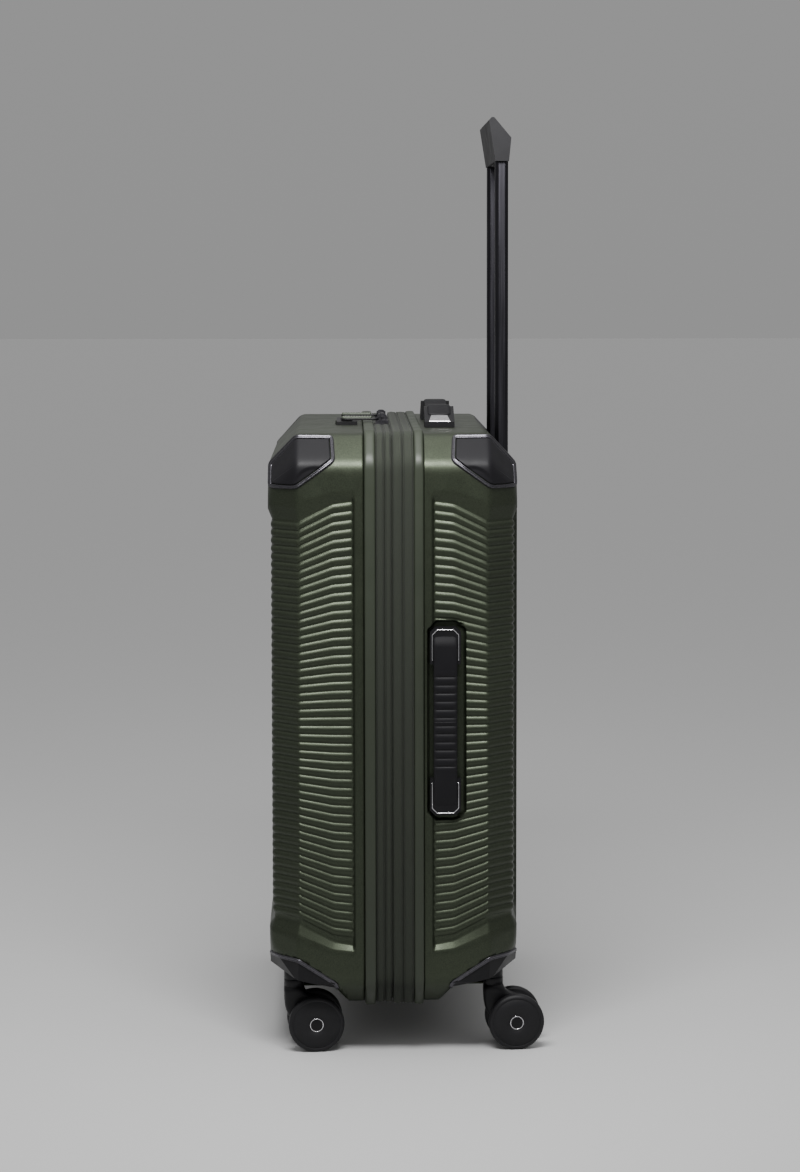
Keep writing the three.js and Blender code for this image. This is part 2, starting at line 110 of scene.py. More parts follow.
# where the lining steps clear of the casters, the lock, the handle pocket and the trolley's bezel
CASTER_SPACE = {"x": 122, "y": 34, "z": 106}
LOCK_SPACE = {"x": 52, "y": 64, "z": 640, "step": 6.0}
POCKET_SPACE = {"margin": 4, "step": 4.6}
BEZEL_SPACE = {"x": 110, "z": 590, "y": 96}

# openings cut through the shells: (x range, y range, z range), and the (|Y|, Z) outline at a caster
LOCK_OPENING = ((-46.3, 46.3), (-58.3, -35.7), (620, 700))
BEZEL_OPENING = ((-106.3, 106.3), (97.7, 200), (594.7, 700))
CASTER_OPENING_X = (130, 300)
CASTER_OPENING = [(45.5, 40), (45.5, 50.2), (58.5, 68.5), (58.5, 75.6), (99, 101.5), (150, 101.5), (150, 40)]

STITCH_PITCH = 2.4
STITCH_LENGTH = 1.5
STITCH_WIDTH = 0.35

CASTER_TURN = math.radians(4)
TRAIL = 22.5
WHEEL_RADIUS = 29
# the CAD wheels have flat facets and stand on one of them
WHEEL_FACETS = 24
AXLE_Z = WHEEL_RADIUS * math.cos(math.pi / WHEEL_FACETS)
STEM = (188, 104)
WHEEL_OFFSET = 16.25
WHEEL_HALF_WIDTH = 5.35

TOUCHING = 0.02
FLAT_ANGLE = math.radians(1)
EDGE_ANGLE = math.radians(25)
# a wave texture of scale 1 has a band every 0.314 m
WAVE_SPACING = 0.314


# ---- helpers: meshes ----
def to_row(points):
    """Case millimetres to the frame's own coordinates, in metres."""
    return np.asarray(points, float) * MM + np.array(ORIGIN)


def make_object(name, points, faces, material, smooth=True):
    """A piece from points in case millimetres."""
    mesh = bpy.data.meshes.new(name)
    mesh.from_pydata(to_row(points).tolist(), [], [list(map(int, f)) for f in faces])
    mesh.validate()
    if smooth:
        mesh.shade_smooth()
    piece = bpy.data.objects.new(name, mesh)
    bpy.context.scene.collection.objects.link(piece)
    mesh.materials.append(material)
    return piece


def weld(piece):
    """Joins touching vertices and turns the faces outwards."""
    work = bmesh.new()
    work.from_mesh(piece.data)
    bmesh.ops.remove_doubles(work, verts=work.verts, dist=TOUCHING * MM)
    bmesh.ops.recalc_face_normals(work, faces=work.faces)
    work.to_mesh(piece.data)
    work.free()
    return piece


def bevelled(piece, width, segments=3):
    """Cleans flat triangles, rounds the edges and keeps the flats flat."""
    clean = piece.modifiers.new("clean", "DECIMATE")
    clean.decimate_type = "DISSOLVE"
    clean.angle_limit = FLAT_ANGLE
    bevel = piece.modifiers.new("round", "BEVEL")
    bevel.width = width * MM
    bevel.segments = segments
    bevel.limit_method = "ANGLE"
    bevel.angle_limit = EDGE_ANGLE
    piece.modifiers.new("normals", "WEIGHTED_NORMAL")
    for polygon in piece.data.polygons:
        polygon.use_smooth = True
    return piece


def case_box(name):
    """The low and high corners of a CAD node, in case millimetres."""
    return [(np.array(corner) - np.array(ORIGIN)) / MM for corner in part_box(name)]


def grid_faces(rows, columns, start=0, close_rows=False, close_columns=False):
    """Four-sided faces between the points of a grid, numbered row by row from start."""
    faces = []
    for i in range(rows if close_rows else rows - 1):
        for j in range(columns if close_columns else columns - 1):
            a = start + i * columns + j
            b = start + i * columns + (j + 1) % columns
            c = start + ((i + 1) % rows) * columns + (j + 1) % columns
            d = start + ((i + 1) % rows) * columns + j
            faces.append((a, b, c, d))
    return faces


def loft_faces(rows, columns):
    """Faces of a stack of closed rings, with a cap on each end."""
    first = tuple(range(columns))
    last = tuple(reversed(range((rows - 1) * columns, rows * columns)))
    return grid_faces(rows, columns, close_columns=True) + [first, last]


def sweep_faces(rows, columns):
    """Faces of a closed section (the rows) swept along an open path, with a cap on each end."""
    first = [i * columns for i in range(rows)]
    last = [i * columns + columns - 1 for i in reversed(range(rows))]
    return grid_faces(rows, columns, close_rows=True) + [first, last]


def join_parts(name, parts, material):
    """One mesh from several (points, faces) lists."""
    points, faces, count = [], [], 0
    for part_points, part_faces in parts:
        points.append(np.asarray(part_points, float))
        faces += [tuple(i + count for i in f) for f in part_faces]
        count += len(part_points)
    return make_object(name, np.concatenate(points), faces, material)


def bezier(a, c, e, count):
    """Points strictly between a and e on the curve that rounds corner c."""
    a, c, e = (np.asarray(p, float) for p in (a, c, e))
    steps = np.linspace(0, 1, count + 2)[1:-1]
    return [(1 - t) ** 2 * a + 2 * t * (1 - t) * c + t * t * e for t in steps]


def rounded_corners(corners, radius, count):
    """One list of points for each corner of a closed polygon, rounded."""
    corners = [np.asarray(corner, float) for corner in corners]
    arcs = []
    for i, corner in enumerate(corners):
        before, after = corners[i - 1], corners[(i + 1) % len(corners)]
        arrive = corner + unit(before - corner) * radius
        leave = corner + unit(after - corner) * radius
        arcs.append([arrive, *bezier(arrive, corner, leave, count), leave])
    return arcs


def unit(vectors):
    return vectors / np.linalg.norm(vectors, axis=-1, keepdims=True)


def path_places(path):
    """How far along an open path each of its points lies."""
    return np.concatenate([[0], np.cumsum(np.linalg.norm(np.diff(path, axis=0), axis=1))])


def polyline(corners, spacing):
    """Points along straight stretches, about spacing apart."""
    points = []
    for a, b in zip(corners, corners[1:]):
        a, b = np.array(a, float), np.array(b, float)
        count = max(1, int(np.linalg.norm(b - a) / spacing))
        points += [a + (b - a) * k / count for k in range(count)]
    return np.array(points + [np.array(corners[-1], float)])


def oval(count, power_across, power_up):
    """Points round a unit circle, made squarer by powers under 1."""
    turns = [2 * math.pi * k / count for k in range(count)]
    return [(signed_power(math.cos(t), power_across), signed_power(math.sin(t), power_up)) for t in turns]


def signed_power(value, power):
    return math.copysign(abs(value) ** power, value)


def smoothstep(low, high, value):
    t = np.clip((np.asarray(value, float) - low) / (high - low), 0, 1)
    return t * t * (3 - 2 * t)


def along(depth, values):
    """A value between its three given at the seam end, soft crease and crease."""
    return float(np.interp(depth, (SEAM_END, SOFT_CREASE, CREASE), values))


# ---- helpers: materials ----
def new_material(name):
    material = bpy.data.materials.new(name)
    material.use_nodes = True
    tree = material.node_tree
    shader = tree.nodes["Principled BSDF"]
    return material, tree, shader


def node(tree, kind, settings=None, **inputs):
    """A shader node with its settings and input values; an underscore stands for a space in their names."""
    made = tree.nodes.new(kind)
    for key, value in (settings or {}).items():
        setattr(made, key, value)
    for key, value in inputs.items():
        made.inputs[key.replace("_", " ")].default_value = value
    return made


def ramp(tree, factor, stops):
    """Colours along a factor, from (place, colour) stops."""
    made = tree.nodes.new("ShaderNodeValToRGB")
    while len(made.color_ramp.elements) < len(stops):
        made.color_ramp.elements.new(0.5)
    for element, (place, colour) in zip(made.color_ramp.elements, stops):
        element.position = place
        element.color = (*colour, 1)
    tree.links.new(factor, made.inputs["Fac"])
    return made.outputs["Color"]


def bump(tree, shader, height, strength, distance):
    made = node(tree, "ShaderNodeBump", Strength=strength, Distance=distance)
    tree.links.new(height, made.inputs["Height"])
    tree.links.new(made.outputs["Normal"], shader.inputs["Normal"])


def noise(tree, scale, detail=2.0, roughness=0.5, stretch=(1, 1, 1)):
    """Cloudy noise in the piece's own coordinates."""
    coords = tree.nodes.new("ShaderNodeTexCoord")
    mapping = tree.nodes.new("ShaderNodeMapping")
    mapping.inputs["Scale"].default_value = stretch
    tree.links.new(coords.outputs["Object"], mapping.inputs["Vector"])
    made = node(tree, "ShaderNodeTexNoise", Scale=scale, Detail=detail, Roughness=roughness)
    tree.links.new(mapping.outputs["Vector"], made.inputs["Vector"])
    return made.outputs["Fac"]


def scaled(colour, factor):
    return tuple(min(1, c * factor) for c in colour)


def grey(level):
    return (level, level, level)


def multiplied(tree, first, second):
    """The product of two colours."""
    mix = node(tree, "ShaderNodeMix", {"data_type": "RGBA", "blend_type": "MULTIPLY"})
    mix.inputs[0].default_value = 1
    tree.links.new(first, mix.inputs[6])
    tree.links.new(second, mix.inputs[7])
    return mix.outputs[2]


def moulded(name, colour, roughness, speckle, grain, metallic=0.0, coat=0.0, specular=0.5):
    """Moulded plastic: a soft large variation, a fine speckle and a fine grain."""
    material, tree, shader = new_material(name)
    shader.inputs["Specular IOR Level"].default_value = specular
    shader.inputs["Metallic"].default_value = metallic
    shader.inputs["Coat Weight"].default_value = coat
    shader.inputs["Coat Roughness"].default_value = 0.25
    low, high = scaled(colour, 1 - speckle), scaled(colour, 1 + speckle)
    flecks = ramp(tree, noise(tree, 1400, 3, 0.7), [(0.36, low), (0.5, colour), (0.66, high)])
    wear = ramp(tree, noise(tree, 9, 2), [(0.3, grey(0.93)), (0.7, grey(1.05))])
    tree.links.new(multiplied(tree, flecks, wear), shader.inputs["Base Color"])
    gloss = ramp(tree, noise(tree, 60, 4), [(0.3, grey(roughness * 0.9)), (0.7, grey(roughness * 1.12))])
    tree.links.new(gloss, shader.inputs["Roughness"])
    bump(tree, shader, noise(tree, 1100, 2, 0.6), grain, 0.0002)
    return material


def woven(name, colour, pitch, depth=0.5, sheen=0.25):
    """Woven cloth: crossing threads as bands in two directions, with uneven yarn."""
    material, tree, shader = new_material(name)
    shader.inputs["Sheen Weight"].default_value = sheen
    shader.inputs["Sheen Roughness"].default_value = 0.5
    shader.inputs["Roughness"].default_value = 0.88
    coords = tree.nodes.new("ShaderNodeTexCoord")
    waves = []
    for direction in ("DIAGONAL", "Z"):
        settings = {"wave_type": "BANDS", "bands_direction": direction}
        wave = node(tree, "ShaderNodeTexWave", settings, Scale=WAVE_SPACING / pitch / MM,
                    Distortion=1.2, Detail=1.0, Detail_Scale=2.5)
        tree.links.new(coords.outputs["Object"], wave.inputs["Vector"])
        waves.append(wave.outputs["Fac"])
    cross = node(tree, "ShaderNodeMath", {"operation": "MULTIPLY"})
    tree.links.new(waves[0], cross.inputs[0])
    tree.links.new(waves[1], cross.inputs[1])
    shades = [(0.1, scaled(colour, 0.55)), (0.45, colour), (0.9, scaled(colour, 1.5))]
    threads = ramp(tree, cross.outputs[0], shades)
    yarn = ramp(tree, noise(tree, 900, 3, 0.7), [(0.3, grey(0.75)), (0.7, grey(1.25))])
    tree.links.new(multiplied(tree, threads, yarn), shader.inputs["Base Color"])
    bump(tree, shader, cross.outputs[0], depth, 0.0004)
    return material


def metal(name, colour, roughness, brushed=(1, 1, 1)):
    """Bare or anodised metal with fine brushing along one direction."""
    material, tree, shader = new_material(name)
    shader.inputs["Metallic"].default_value = 1.0
    streaks = noise(tree, 500, 3, 0.6, brushed)
    tone = ramp(tree, streaks, [(0.3, scaled(colour, 0.85)), (0.7, scaled(colour, 1.15))])
    tree.links.new(tone, shader.inputs["Base Color"])
    gloss = ramp(tree, streaks, [(0.3, grey(roughness * 0.85)), (0.7, grey(roughness * 1.2))])
    tree.links.new(gloss, shader.inputs["Roughness"])
    bump(tree, shader, streaks, 0.15, 0.0001)
    return material


SHELL = moulded("shell_olive", (0.038, 0.046, 0.030), 0.42, 0.4, 0.10, metallic=0.8, coat=0.04)
TRIM = moulded("trim_olive", (0.025, 0.031, 0.020), 0.45, 0.05, 0.05, metallic=0.1, specular=0.4)
BLACK = moulded("satin_black", (0.0055, 0.0053, 0.0062), 0.42, 0.25, 0.12, specular=0.22)
SOFT_BLACK = moulded("soft_touch_black", (0.007, 0.0067, 0.008), 0.48, 0.25, 0.10, specular=0.16)
RUBBER = moulded("wheel_polyurethane", (0.007, 0.0068, 0.008), 0.55, 0.2, 0.08, specular=0.3)
PULLER_GREEN = moulded("puller_green", (0.055, 0.066, 0.046), 0.5, 0.1, 0.08)
GUNMETAL = metal("gunmetal", (0.085, 0.082, 0.092), 0.30)
CHROME = metal("chrome", (0.62, 0.61, 0.63), 0.12)
TUBE = metal("anodised_tube", (0.032, 0.031, 0.036), 0.36, (1, 1, 0.02))
STEEL = metal("axle_steel", (0.42, 0.42, 0.43), 0.25)
FABRIC = woven("zip_fabric", (0.0145, 0.019, 0.0105), 0.75, 0.5, 0.03)
GUSSET = woven("gusset_fabric", (0.014, 0.017, 0.012), 0.9, 0.5, 0.08)
LINING = woven("lining_fabric", (0.075, 0.075, 0.080), 1.2, 0.3)
THREAD = woven("stitch_thread", (0.007, 0.008, 0.006), 0.4, 0.5, 0.05)
# near-black ring round each upper corner protector: painted shadow of the gap between protector and shell
GAP_SHADOW_PAINT = moulded("painted_gap_shadow", (0.006, 0.006, 0.006), 0.7, 0.1, 0.05)


# ---- the case's outline and its half shells ----
def ring_sizes(fraction, grow=0.0):
    """(side, top, bottom, top cut, bottom cut) at a bevel fraction, grown outwards."""
    loss = grow * (2 - math.sqrt(2))
    return (
        HALF_WIDTH - BEVEL_SIDE * fraction + grow,
        TOP - BEVEL_TOP * fraction + grow,
        BOTTOM + BEVEL_BOTTOM * fraction - grow,
        TOP_CHAMFER - loss,
        BOTTOM_CHAMFER - loss,
    )


def depth_profile(rim):
    """(|Y|, bevel fraction) from the rim to just round the edge of the outer face."""
    places = [(depth, 0.0) for depth in (rim, *FLAT_DEPTHS)]
    bevel = [(CREASE + step, step / BEVEL_DEPTH) for step in BEVEL_STEPS]
    places += bezier(places[-1], (CREASE, 0), bevel[0], 4)
    places += bevel
    face_edge = (CASE_HALF_DEPTH, FACE_END)
    places += bezier(bevel[-1], (CASE_HALF_DEPTH, 1), face_edge, 5)
    return places + [face_edge]


def side_rows(depth, fraction, samples):
    """Points up the side wall from the middle of the lower chamfer to the middle of the upper one.

    Each row is (x, z, recess, rib height); the rows follow the slanted ribs."""
    side, top, bottom, cut_top, cut_bottom = ring_sizes(fraction)
    low_corner = (side, bottom + cut_bottom)
    high_corner = (side, top - cut_top)
    slant = ROUND / math.sqrt(2)
    low_start = (side - slant, low_corner[1] - slant)
    high_end = (side - slant, high_corner[1] + slant)
    rows = [(side - cut_bottom / 2, bottom + cut_bottom / 2, 0, 0), (*low_start, 0, 0)]
    rows += [(*p, 0, 0) for p in bezier(low_start, low_corner, (side, low_corner[1] + ROUND), CURVE_POINTS)]
    ledge_low, ledge_high = (along(depth, v) for v in LOWER_LEDGE)
    flat_start = low_corner[1] + ROUND
    ledge_low = max(ledge_low, flat_start + 2)
    ledge_high = max(ledge_high, ledge_low + 4)
    rows += [(side, z, 0, 0) for z in np.linspace(flat_start, ledge_low, 5)]
    steps = np.linspace(0, 1, 7)[1:]
    rows += [(side, ledge_low + (ledge_high - ledge_low) * s, s, 0) for s in steps]
    half = along(depth, FIELD_HALF)
    pitch = 1 / ((RIB_COUNT - 1) / 2)
    ends = 1 + pitch / 2
    count = RIB_COUNT * samples
    field_start = RIB_MIDDLE - half * ends
    rows.append((side, (ledge_high + field_start) / 2, 1, 0))
    for k in range(count + 1):
        share = -ends + 2 * ends * k / count
        phase = (k / samples) % 1
        ridge = 1 - (2 * phase - 1) ** 2
        rows.append((side, RIB_MIDDLE + half * share, 1, ridge))
    field_end = RIB_MIDDLE + half * ends
    flat_end = high_corner[1] - ROUND
    ledge_top = min(along(depth, UPPER_LEDGE_TOP), flat_end - 1)
    rows += [(side, field_end + (ledge_top - field_end) * s, 1 - s, 0) for s in steps]
    rows += [(side, z, 0, 0) for z in np.linspace(ledge_top, flat_end, 6)[1:]]
    rows += [(*p, 0, 0) for p in bezier((side, flat_end), high_corner, high_end, CURVE_POINTS)]
    rows += [(*high_end, 0, 0), (side - cut_top / 2, top - cut_top / 2, 0, 0)]
    return rows


def edge_columns(side, level, cut, sign):
    """Points along the top (sign 1) or bottom (-1) edge, from the right chamfer's middle to the left's."""
    corner = (side - cut, level)
    slant = ROUND / math.sqrt(2)
    start = (corner[0] + slant, level - sign * slant)
    right = [(side - cut / 2, level - sign * cut / 2), start]
    right += [tuple(p) for p in bezier(start, corner, (corner[0] - ROUND, level), CURVE_POINTS)]
    flat_end = corner[0] - ROUND
    outer = np.linspace(flat_end, PANEL_HALF_WIDTH + 8, 6)
    panel_edge = np.arange(PANEL_HALF_WIDTH + 6, PANEL_HALF_WIDTH - 5, -2)
    inner = np.linspace(PANEL_HALF_WIDTH - 10, 0, 12)
    right += [(x, level) for x in (*outer, *panel_edge, *inner)]
    left = [(-x, z) for x, z in reversed(right[:-1])]
    return right + left


def tray_points(side_sign, samples):
    """The side wall, roof and floor of a half case as grids of (x, y, z, recess, ridge, |Y|)."""
    walls, roofs, floors = [], [], []
    for depth, fraction in depth_profile(RIM[side_sign]):
        y = side_sign * depth
        rows = side_rows(depth, fraction, samples)
        walls.append([(x, y, z, recess, ridge, depth) for x, z, recess, ridge in rows])
        side, top, bottom, cut_top, cut_bottom = ring_sizes(fraction)
        roofs.append([(x, y, z, 0, 0, depth) for x, z in edge_columns(side, top, cut_top, 1)])
        floors.append([(x, y, z, 0, 0, depth) for x, z in edge_columns(side, bottom, cut_bottom, -1)])
    return np.array(walls), np.array(roofs), np.array(floors)


def face_patch(wall_edge, roof_edge, floor_edge):
    """The outer face: rows join the right wall's last ring to the left's, columns the floor to the roof."""
    count = len(wall_edge)
    heights = wall_edge[:, 2]
    recessed = np.nonzero(wall_edge[:, 3] > 0)[0]
    low, high = recessed[0] - 1, recessed[-1] + 1
    share = (roof_edge[:, 0] / roof_edge[0, 0] + 1) / 2
    rows = []
    for j in range(count):
        right = wall_edge[j, :3]
        left = right * (-1, 1, 1)
        plain = left + np.outer(share, right - left)
        if j < low or j > high:
            pivot, end, border = (low, 0, floor_edge) if j < low else (high, count - 1, roof_edge)
            blend = (heights[j] - heights[pivot]) / (heights[end] - heights[pivot])
            pivot_right, end_right = wall_edge[pivot, :3], wall_edge[end, :3]
            pivot_row = pivot_right * (-1, 1, 1) + np.outer(share, pivot_right - pivot_right * (-1, 1, 1))
            between = pivot_right + (end_right - pivot_right) * blend
            correction = right - between
            plain = pivot_row * (1 - blend) + border[:, :3] * blend
            plain = plain + np.outer(share, correction) + np.outer(1 - share, correction * (-1, 1, 1))
        recess = np.full(len(share), wall_edge[j, 3])
        ridge = np.full(len(share), wall_edge[j, 4])
        depth = np.full(len(share), CASE_HALF_DEPTH)
        rows.append(np.column_stack([plain, recess, ridge, depth]))
    return np.array(rows)


def half_case(name, side_sign, material, relief, samples, wall_thickness):
    """One half of the case as a thin tray: its smooth outline moved along its normals by relief."""
    walls, roofs, floors = tray_points(side_sign, samples)
    face = face_patch(walls[-1], roofs[-1], floors[-1])
    mirrored_walls = walls.copy()
    mirrored_walls[:, :, 0] *= -1
    patches = [walls, mirrored_walls, roofs, floors, face]
    data = np.concatenate([p.reshape(-1, 6) for p in patches])
    faces, start = [], 0
    for patch in patches:
        faces += grid_faces(patch.shape[0], patch.shape[1], start)
        start += patch.shape[0] * patch.shape[1]
    mesh = bpy.data.meshes.new(name)
    mesh.from_pydata(data[:, :3].tolist(), [], faces)
    work = bmesh.new()
    work.from_mesh(mesh)
    tags = [work.verts.layers.float.new(n) for n in ("recess", "ridge", "depth")]
    work.verts.ensure_lookup_table()
    for vertex, row in zip(work.verts, data):
        for tag, value in zip(tags, row[3:]):
            vertex[tag] = value
    bmesh.ops.remove_doubles(work, verts=work.verts, dist=TOUCHING)
    bmesh.ops.recalc_face_normals(work, faces=work.faces)
    work.normal_update()
    outer = max(work.faces, key=lambda f: f.calc_center_median().y * side_sign)
    if outer.normal.y * side_sign < 0:
        bmesh.ops.reverse_faces(work, faces=work.faces)
        work.normal_update()
    points = np.array([v.co[:] for v in work.verts])
    normals = np.array([v.normal[:] for v in work.verts])
    recess, ridge, depth = (np.array([v[tag] for v in work.verts]) for tag in tags)
    points = relief(side_sign, points, normals, recess, ridge, depth)
    for vertex, place in zip(work.verts, to_row(points)):
        vertex.co = place
    work.to_mesh(mesh)
    work.free()
    mesh.shade_smooth()
    mesh.materials.append(material)
    piece = bpy.data.objects.new(name, mesh)
    bpy.context.scene.collection.objects.link(piece)
    wall = piece.modifiers.new("wall", "SOLIDIFY")
    wall.thickness = wall_thickness * MM
    wall.offset = -1
    return piece


def shell_relief(side_sign, points, normals, recess, ridge, depth):
    """The shell's outline with its recessed rib field, ribs, handle pocket and raised panel."""
    seam = smoothstep(SEAM_END - 3, SEAM_END + 1.5, depth)
    rib_end = smoothstep(SEAM_END - 0.8, SEAM_END + 2.5, depth)
    field = recess * seam
    if side_sign > 0:
        panel = panel_share(points)
        field = field * (1 - panel)
        rib_end = rib_end * (1 - panel)
    inward = FIELD_RECESS * field - RIB_HEIGHT * ridge * recess * rib_end
    if side_sign > 0:
        pocket = pocket_share(points)
        inward = inward * (1 - pocket) + POCKET["depth"] * pocket
    points = points - normals * inward[:, None]
    points[:, 1] += side_sign * face_lift(side_sign, points)
    return points


def lining_relief(side_sign, points, normals, recess, ridge, depth):
    """The lining follows the outline inside the shell, and steps round the pocket, lock and trolley."""
    inward = np.full(len(points), LINING_INSET)
    if side_sign > 0:
        inward += POCKET_SPACE["step"] * pocket_share(points, POCKET_SPACE["margin"])
    else:
        over_lock = (np.abs(points[:, 0]) < LOCK_SPACE["x"]) & (points[:, 1] > -LOCK_SPACE["y"])
        inward += LOCK_SPACE["step"] * (over_lock & (points[:, 2] > LOCK_SPACE["z"]))
    points = points - normals * inward[:, None]
    by_caster = (np.abs(points[:, 0]) > CASTER_SPACE["x"]) & (np.abs(points[:, 1]) > CASTER_SPACE["y"])
    points[:, 2] = np.where(by_caster, np.maximum(points[:, 2], CASTER_SPACE["z"]), points[:, 2])
    if side_sign > 0:
        by_bezel = (np.abs(points[:, 0]) < BEZEL_SPACE["x"]) & (points[:, 2] > BEZEL_SPACE["z"])
        limit = np.where(by_bezel, BEZEL_SPACE["y"], LINING_BACK)
        points[:, 1] = np.minimum(points[:, 1], limit)
    return points


def panel_share(points):
    """1 on the raised flat panel of the back shell that covers the trolley, 0 off it."""
    across = 1 - smoothstep(PANEL_HALF_WIDTH - 1, PANEL_HALF_WIDTH + 5, np.abs(points[:, 0]))
    on_face = smoothstep(CASE_HALF_DEPTH - 4, CASE_HALF_DEPTH - 1, points[:, 1])
    above = smoothstep(*PANEL_LOW_END, points[:, 2])
    below = 1 - smoothstep(*PANEL_HIGH_END, points[:, 2])
    return across * on_face * above * below


def pocket_share(points, margin=0.0):
    """1 in the chamfered pocket of the side carry handle, 0 outside it."""
    over_y = np.abs(points[:, 1] - POCKET["y"]) - POCKET["half_y"] - margin
    over_z = np.abs(points[:, 2] - POCKET["z"]) - POCKET["half_z"] - margin
    corner = (over_y + over_z + POCKET["cut"]) / math.sqrt(2)
    outside = np.maximum(np.maximum(over_y, over_z), corner)
    on_side = points[:, 0] > HALF_WIDTH - 12
    return (1 - smoothstep(-0.9, 0.5, outside)) * on_side


def face_lift(side_sign, points):
    """The outer face swells a little, and the trolley panel stands proud of it."""
    on_face = smoothstep(CASE_HALF_DEPTH - 6, CASE_HALF_DEPTH - 0.5, side_sign * points[:, 1])
    across = 1 - (points[:, 0] / (HALF_WIDTH - BEVEL_SIDE)) ** 2
    upright = 1 - ((points[:, 2] - RIB_MIDDLE) / CROWN_HALF_HEIGHT) ** 2
    swell = CROWN * np.clip(across, 0, 1) * np.clip(upright, 0, 1)
    if side_sign < 0:
        return swell * on_face
    panel = panel_share(points)
    return on_face * (swell * (1 - panel)) + PANEL_RAISE * panel


def prism_object(name, outline, low, high, axis):
    """A plain closed prism used only to cut others; it is removed afterwards."""
    count = len(outline)
    if axis == "x":
        points = [(level, u, v) for level in (low, high) for u, v in outline]
    else:
        points = [(u, v, level) for level in (low, high) for u, v in outline]
    faces = [tuple(range(count)), tuple(range(count, 2 * count))]
    faces += [(i, (i + 1) % count, count + (i + 1) % count, count + i) for i in range(count)]
    return weld(make_object(name, points, faces, BLACK, smooth=False))


def cut_with(piece, cutters):
    """Cuts the closed solids out of the piece and applies everything to its mesh."""
    for cutter in cutters:
        cut = piece.modifiers.new("cut", "BOOLEAN")
        cut.operation = "DIFFERENCE"
        cut.solver = "EXACT"
        cut.object = cutter
    graph = bpy.context.evaluated_depsgraph_get()
    final = bpy.data.meshes.new_from_object(piece.evaluated_get(graph))
    piece.modifiers.clear()
    piece.data = final
    for cutter in cutters:
        bpy.data.objects.remove(cutter)


def corner_cutters(side_sign):
    """The solids that open a half shell at its two casters."""
    outline = [(side_sign * y, z) for y, z in CASTER_OPENING]
    reaches = [sorted(side * x for x in CASTER_OPENING_X) for side in (-1, 1)]
    return [prism_object("corner_cutter", outline, *reach, "x") for reach in reaches]


def box_cutter(x, y, z):
    return prism_object("box_cutter", [(x[0], y[0]), (x[1], y[0]), (x[1], y[1]), (x[0], y[1])], *z, "z")


def build_shells():
    """The ribbed half shells, opened for the casters, the lock and the trolley's bezel."""
    for name, side_sign, opening in (("front", -1, LOCK_OPENING), ("back", 1, BEZEL_OPENING)):
        shell = half_case(f"{name}_shell_ribbed", side_sign, SHELL, shell_relief, RIB_SAMPLES, SHELL_WALL)
        cut_with(shell, corner_cutters(side_sign) + [box_cutter(*opening)])
        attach(shell, f"{name}_case")
        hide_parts(f"{name}_shell")


def build_linings():
    """The cloth linings, inside both shells."""
    for name, side_sign in (("front", -1), ("back", 1)):
        lining = half_case(f"{name}_lining_cloth", side_sign, LINING, lining_relief, 1, LINING_WALL)
        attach(lining, f"{name}_case")
        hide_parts(f"{name}_lining")


# ---- bands round the case ----
def loop_outline(grow, corner_points=4, flat_step=12.0):
    """A closed, rounded eight-sided loop of (x, z) points round the case, grown outwards."""
    side, top, bottom, cut_top, cut_bottom = ring_sizes(0, grow)
    corners = [
        (side, bottom + cut_bottom), (side, top - cut_top), (side - cut_top, top), (cut_top - side, top),
        (-side, top - cut_top), (-side, bottom + cut_bottom), (cut_bottom - side, bottom),
        (side - cut_bottom, bottom),
    ]
    arcs = rounded_corners(corners, ROUND + grow / 2, corner_points)
    points = []
    for arc, next_arc in zip(arcs, arcs[1:] + arcs[:1]):
        flat = next_arc[0] - arc[-1]
        count = max(1, int(np.linalg.norm(flat) // flat_step))
        points += arc + [arc[-1] + flat * k / count for k in range(1, count)]
    return np.array(points)


def band(name, section, material):
    """Sweeps a closed section of (y, grow) points round the case."""
    loops = []
    for y, grow in section:
        loop = loop_outline(grow)
        loops.append(np.column_stack([loop[:, 0], np.full(len(loop), y), loop[:, 1]]))
    points = np.concatenate(loops)
    faces = grid_faces(len(section), len(loops[0]), close_rows=True, close_columns=True)
    return weld(make_object(name, points, faces, material))


def rounded_section(y0, y1, outer, inner, edge, bulge):
    """A band's section: flat or bulged outside with rounded edges, and a plain inside."""
    top = [(y0, outer - edge), (y0 + edge * 0.3, outer - edge * 0.3), (y0 + edge, outer)]
    for t in np.linspace(0, 1, 7)[1:-1]:
        top.append((y0 + edge + (y1 - y0 - 2 * edge) * t, outer + bulge * math.sin(math.pi * t)))
    top += [(y1 - edge, outer), (y1 - edge * 0.3, outer - edge * 0.3), (y1, outer - edge)]
    return top + [(y1, inner), (y0, inner)]


def stitches(name, y, grow):
    """A row of short stitches round the case, each a small rounded bar."""
    loop = loop_outline(grow, 3, 3.0)
    closed = np.vstack([loop, loop[:1]])
    places = path_places(closed)
    across = np.array([0, 1, 0])
    bar_faces = grid_faces(4, 3)
    parts = []
    for k in range(int(places[-1] / STITCH_PITCH)):
        ends = [(k * STITCH_PITCH + d) % places[-1] for d in (0, STITCH_LENGTH)]
        (x0, x1), (z0, z1) = (np.interp(ends, places, closed[:, axis]) for axis in (0, 1))
        run = unit(np.array([x1 - x0, 0, z1 - z0]))
        middle = np.array([(x0 + x1) / 2, y, (z0 + z1) / 2])
        out = np.cross(run, across)
        if np.dot(out, (middle[0], 0, middle[2] - RIB_MIDDLE)) < 0:
            out = -out
        ring = []
        for reach, size, lift in ((-0.5, 0.5, -0.2), (-0.3, 1, 0.25), (0.3, 1, 0.25), (0.5, 0.5, -0.2)):
            centre = middle + run * reach * STITCH_LENGTH + out * lift
            for turn, height in ((-1, -0.25), (0, 0.28), (1, -0.25)):
                ring.append(centre + (across * turn * STITCH_WIDTH + out * height) * size)
        parts.append((ring, bar_faces))
    return join_parts(name, parts, THREAD)


